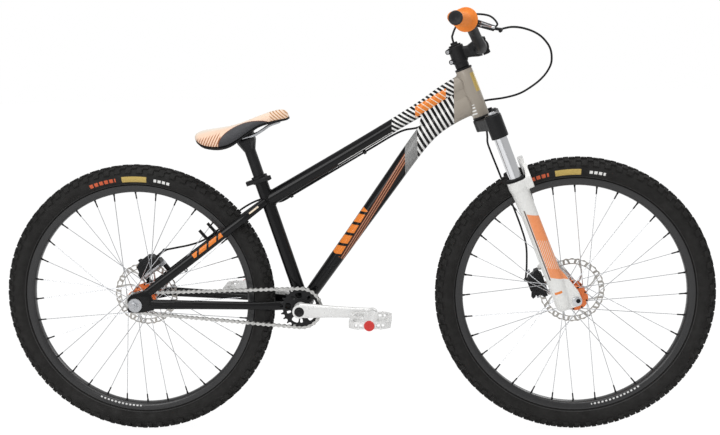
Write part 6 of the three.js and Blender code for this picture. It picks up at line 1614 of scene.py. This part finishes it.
def add_pedal(side, name, centre, material, cap_material):
    half, inner, outer, corner = PEDAL_HALF, PEDAL_INNER, PEDAL_OUTER, PEDAL_CORNER
    outline = [(-half + corner, inner), (half - corner, inner), (half, inner + corner),
               (half, outer - corner),
               (half - corner, outer), (-half + corner, outer), (-half, outer - corner),
               (-half, inner + corner)]
    body = linked("pedal_platform_" + name, prism(outline, "Z", -0.0078, 0.0078))
    cut_with(body, *pedal_holes())
    bevelled(body, 0.0009)
    extra = [bar_between((0, inner, 0), (0, outer, 0), 0.0114, 48)]
    for out, gaps in ((0.0425, (0.017, 0.037)), (0.026, (0.0045,))):
        for x in (-out, out):
            for y in [inner + gap for gap in gaps] + [outer - gap for gap in gaps]:
                extra.append(bar_between((x, y, -0.0098), (x, y, 0.0098), 0.0019, 10))
    body.data = joined(body.data, *extra)
    cap = bar_between((0, outer - 0.001, 0), (0, outer + 0.0028, 0), 0.0124, 40, 0.0118)
    set_on_side(side, Matrix.Translation(centre), body.data, cap)
    finished(body, material, "pedal_" + name, 32)
    add_piece("pedal_end_cap_" + name, cap, cap_material, None, 30, name + "_pedal")


def add_cranks():
    white, pedal_white = white_metal("crank_white_silver"), white_metal("pedal_white_silver")
    red = Finish("pedal_cap_red", (0.62, 0.03, 0.025), 0.35).vary_roughness(80, 0.3, 0.42).material
    for side, name in SIDES:
        turn = CRANK_DROP + (math.pi if side > 0 else 0)
        place = Matrix.Translation(BOTTOM_BRACKET) @ Matrix.Rotation(turn, 4, "Y")
        rings = [squircle(Vector((x, y, 0.0022 * (1 - x / CRANK_LENGTH))), Y_AXIS, Z_AXIS, thick, high, 3.4)
                 for x, high, y, thick in smooth_rows(CRANK_ROWS, 4)]
        parts = [loft(rings), bar_between((0, 0.0527, 0), (0, 0.0878, 0), 0.0168, 72),
                 bar_between((CRANK_LENGTH, 0.0762, 0), (CRANK_LENGTH, 0.0918, 0), 0.0128, 56)]
        bore = bar_between((0, 0.04, 0), (0, 0.1, 0), 0.0119, 64)
        set_on_side(side, Matrix.Identity(4), *parts, bore)
        fused("crank_arm_forging_" + name, parts, 0.0012, 5, place, [bore], white, "crank_arm_" + name)
        axle = joined(bar_between((CRANK_LENGTH, 0.080, 0), (CRANK_LENGTH, 0.194, 0), 0.0062, 32),
                      bar_between((CRANK_LENGTH, 0.0905, 0), (CRANK_LENGTH, 0.0958, 0), 0.0084, 6))
        set_on_side(side, place, axle)
        add_piece("pedal_axle_" + name, axle, dull_silver, None, 30, "crankset")
        add_pedal(side, name, place @ Vector((CRANK_LENGTH, 0, 0)), pedal_white, red)
    add_piece("crank_spindle_turned", turned(SPINDLE, BOTTOM_BRACKET, Y_AXIS, 48), part_black,
              "crank_spindle",
              30)
    add_piece("bottom_bracket_cups", turned(CUPS, BOTTOM_BRACKET, Y_AXIS, 56), part_black,
              "bottom_bracket_bearings",
              30)


# Headset and rear axle

HEADSET = {
    "headset_cup_upper": [(0.0146, 0.1163), (0.0200, 0.1163), (0.0206, 0.1169), (0.0206, 0.1196),
                          (0.0190, 0.1205),
                          (0.0172, 0.1208), (0.0146, 0.1208)],
    "headset_cup_lower": [(0.0146, -0.0054), (0.0196, -0.0054), (0.0206, -0.0044), (0.0206, -0.0009),
                          (0.0200, -0.0003), (0.0146, -0.0003)],
}


def add_small_turned():
    for name, profile in HEADSET.items():
        add_piece(name + "_turned", turned(profile, HEAD_FOOT, HEAD_AXIS), part_black, name, 30)
    dressed("rear_axle", dull_silver, 0.0005, 25)
    discs = []
    for side, name in SIDES:
        face = max(abs(corner[1]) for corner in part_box("chainstay_" + name))
        ends = [REAR_AXLE + Vector((0.003, side * (face + gap), 0)) for gap in (0.0003, 0.0023)]
        discs.append(bar_between(*ends, 0.0175, 48, 0.0168))
    add_piece("rear_axle_washers", joined(*discs), dull_silver, None, 30, "frame")


# Brakes and their cables: routes in millimetres, the front one from the steering's foot

CABLE_RADIUS = 0.0024
FRONT_CABLE = [
    (107, 168, 177), (116, 142, 184), (102, 95, 210), (62, 48, 228), (26, 17, 220), (6, 2, 203), (0, 0, 186),
    (0, 0, 120), (0, 0, 40), (0, 0, -30), (-3, 3, -50), (-8, 20, -67), (-9, 35, -88), (-8, 43, -142),
    (-7, 54, -200),
    (-5, 61, -243), (-5, 63, -300), (-9, 62, -345), (-24, 60, -390), (-38, 58.5, -421),
]
REAR_CABLE = [
    (352.5, -168, 976.3), (376, -147, 980), (402, -124, 977), (430, -98, 967), (452, -72, 952),
    (470, -48, 928),
    (475, -28, 900), (470, -12, 880), (457, 2, 860), (436, 14, 841), (405, 24, 822), (368, 30, 812),
    (323, 33, 806),
    (282, 30, 795), (240, 27.5, 780), (196, 26, 762), (162, 21, 746), (130, 9, 741.5), (100, 0, 729.3),
    (57, 0, 704.7),
    (0, 0, 672.3), (-100, 0, 615.3), (-147, 0, 588.6), (-158, 1, 581.6), (-176, 10, 573), (-194, 21, 573.5),
    (-210, 26, 579), (-241, 32, 571), (-280, 39, 549), (-310, 41, 521), (-329, 42.2, 506.6),
    (-348, 45.3, 492.4),
    (-367, 48.5, 478.4), (-391, 53, 466.5), (-420, 57.5, 457.5), (-447, 60.5, 452), (-478, 62, 446),
]


def rear_caliper_finish():
    """Black, with a silver foot on the side that faces the seatstay."""
    finish = satin_black("rear_brake_caliper_black")
    centre = REAR_AXLE + Vector((0.008, 0, 0.076))
    line = (SEAT_JOINT - STAY_FOOT).normalized()
    toward = (STAY_FOOT - centre) - line * (STAY_FOOT - centre).dot(line)
    finish.paint((0.55, 0.56, 0.58), finish.beyond(finish.measure(centre, toward.normalized()), 0.0172))
    return finish.material


def add_cable(node, route, place, start, end):
    """A housing swept along its route and put in place."""
    points = [Vector(row) / 1000 for row in smooth_rows(route, 6)]
    mesh = swept(points, [CABLE_RADIUS] * len(points), 12)
    mesh.transform(place)
    shade(mesh, 60)
    mesh.materials.append(cable_black)
    piece = linked(node + "_housing", mesh)
    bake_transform(piece)
    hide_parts(node)


def add_brakes():
    cast_from("front_brake_caliper", 0.0011, 3, satin_black("front_brake_caliper_black").material)
    cast_from("rear_brake_caliper", 0.0011, 3, rear_caliper_finish())
    for end in ("front", "rear"):
        dressed(end + "_caliper_arm", part_black, 0.0008, 30)
    bolts = [bar_between(STEERING @ Vector((-0.0225, 0.0556, z)), STEERING @ Vector((-0.0287, 0.0556, z)),
                         0.0040, 20)
             for z in (-0.407, -0.475)]
    add_piece("front_caliper_bolts", joined(*bolts), dull_silver, None, 30, "fork_legs")
    add_cable("front_brake_cable", FRONT_CABLE, STEERING, steering_at(0, 0, -0.12),
              steering_at(0, 0, -0.36))
    add_cable("rear_brake_cable", REAR_CABLE, Matrix.Identity(4), Vector((0.4, 0, 0.95)),
              Vector((0.4, 0, 0.78)))


# Weld beads

def joint_line(run, size, rows, axis_point, axis, radius, sides=96):
    """Where an oval tube's skin meets a round tube, found along each of the oval tube's own lines."""
    rings = tube_rings(run, size, rows, sides)

    def gap(at):
        offset = at - axis_point
        return (offset - axis * offset.dot(axis)).length - radius

    if gap(sum(rings[0], Vector()) / sides) <= gap(sum(rings[-1], Vector()) / sides):
        rings.reverse()
    corners = []
    for line in zip(*rings):
        crossing = line[-1]
        for a, b in zip(line, line[1:]):
            if gap(a) > 0 >= gap(b):
                crossing = a.lerp(b, gap(a) / (gap(a) - gap(b)))
                break
        corners.append(crossing)
    return line_mesh(corners)


def add_bead(name, line, material):
    made_by(WELD_BEADS, name, line, material, None, "frame_black", 60, "frame", Pitch=0.0024,
            Bead_Radius=0.0021)


def add_welds():
    top, down = (TOP_TUBE_RUN, TOP_TUBE_SIZE, TOP_TUBE), (DOWN_TUBE_RUN, DOWN_TUBE_SIZE, DOWN_TUBE)
    head = (HEAD_FOOT, HEAD_AXIS, 0.0202)
    add_bead("top_tube_rear_weld", joint_line(*top, BOTTOM_BRACKET, SEAT_AXIS, 0.0161), frame_black)
    add_bead("top_tube_head_weld", joint_line(*top, *head), head_grey)
    add_bead("down_tube_head_weld", joint_line(*down, *head), head_grey)
    add_bead("down_tube_shell_weld", joint_line(*down, BOTTOM_BRACKET, Y_AXIS, 0.0207), frame_black)
    foot = BOTTOM_BRACKET + SEAT_AXIS * 0.0208
    # The minus sign only sets which way round the beads run
    ring = ring_round(foot, SEAT_AXIS, SEAT_AXIS.orthogonal(), 0.0158, -0.0158, 72)
    add_bead("seat_tube_shell_weld", line_mesh(ring), frame_black)


head_grey = gloss_black("weld_warm_grey").paint(PAINT_GREY, 1.0).material
add_saddle()
add_seat_clamp()
add_chain()
add_sprockets()
add_cranks()
add_small_turned()
add_brakes()
add_welds()
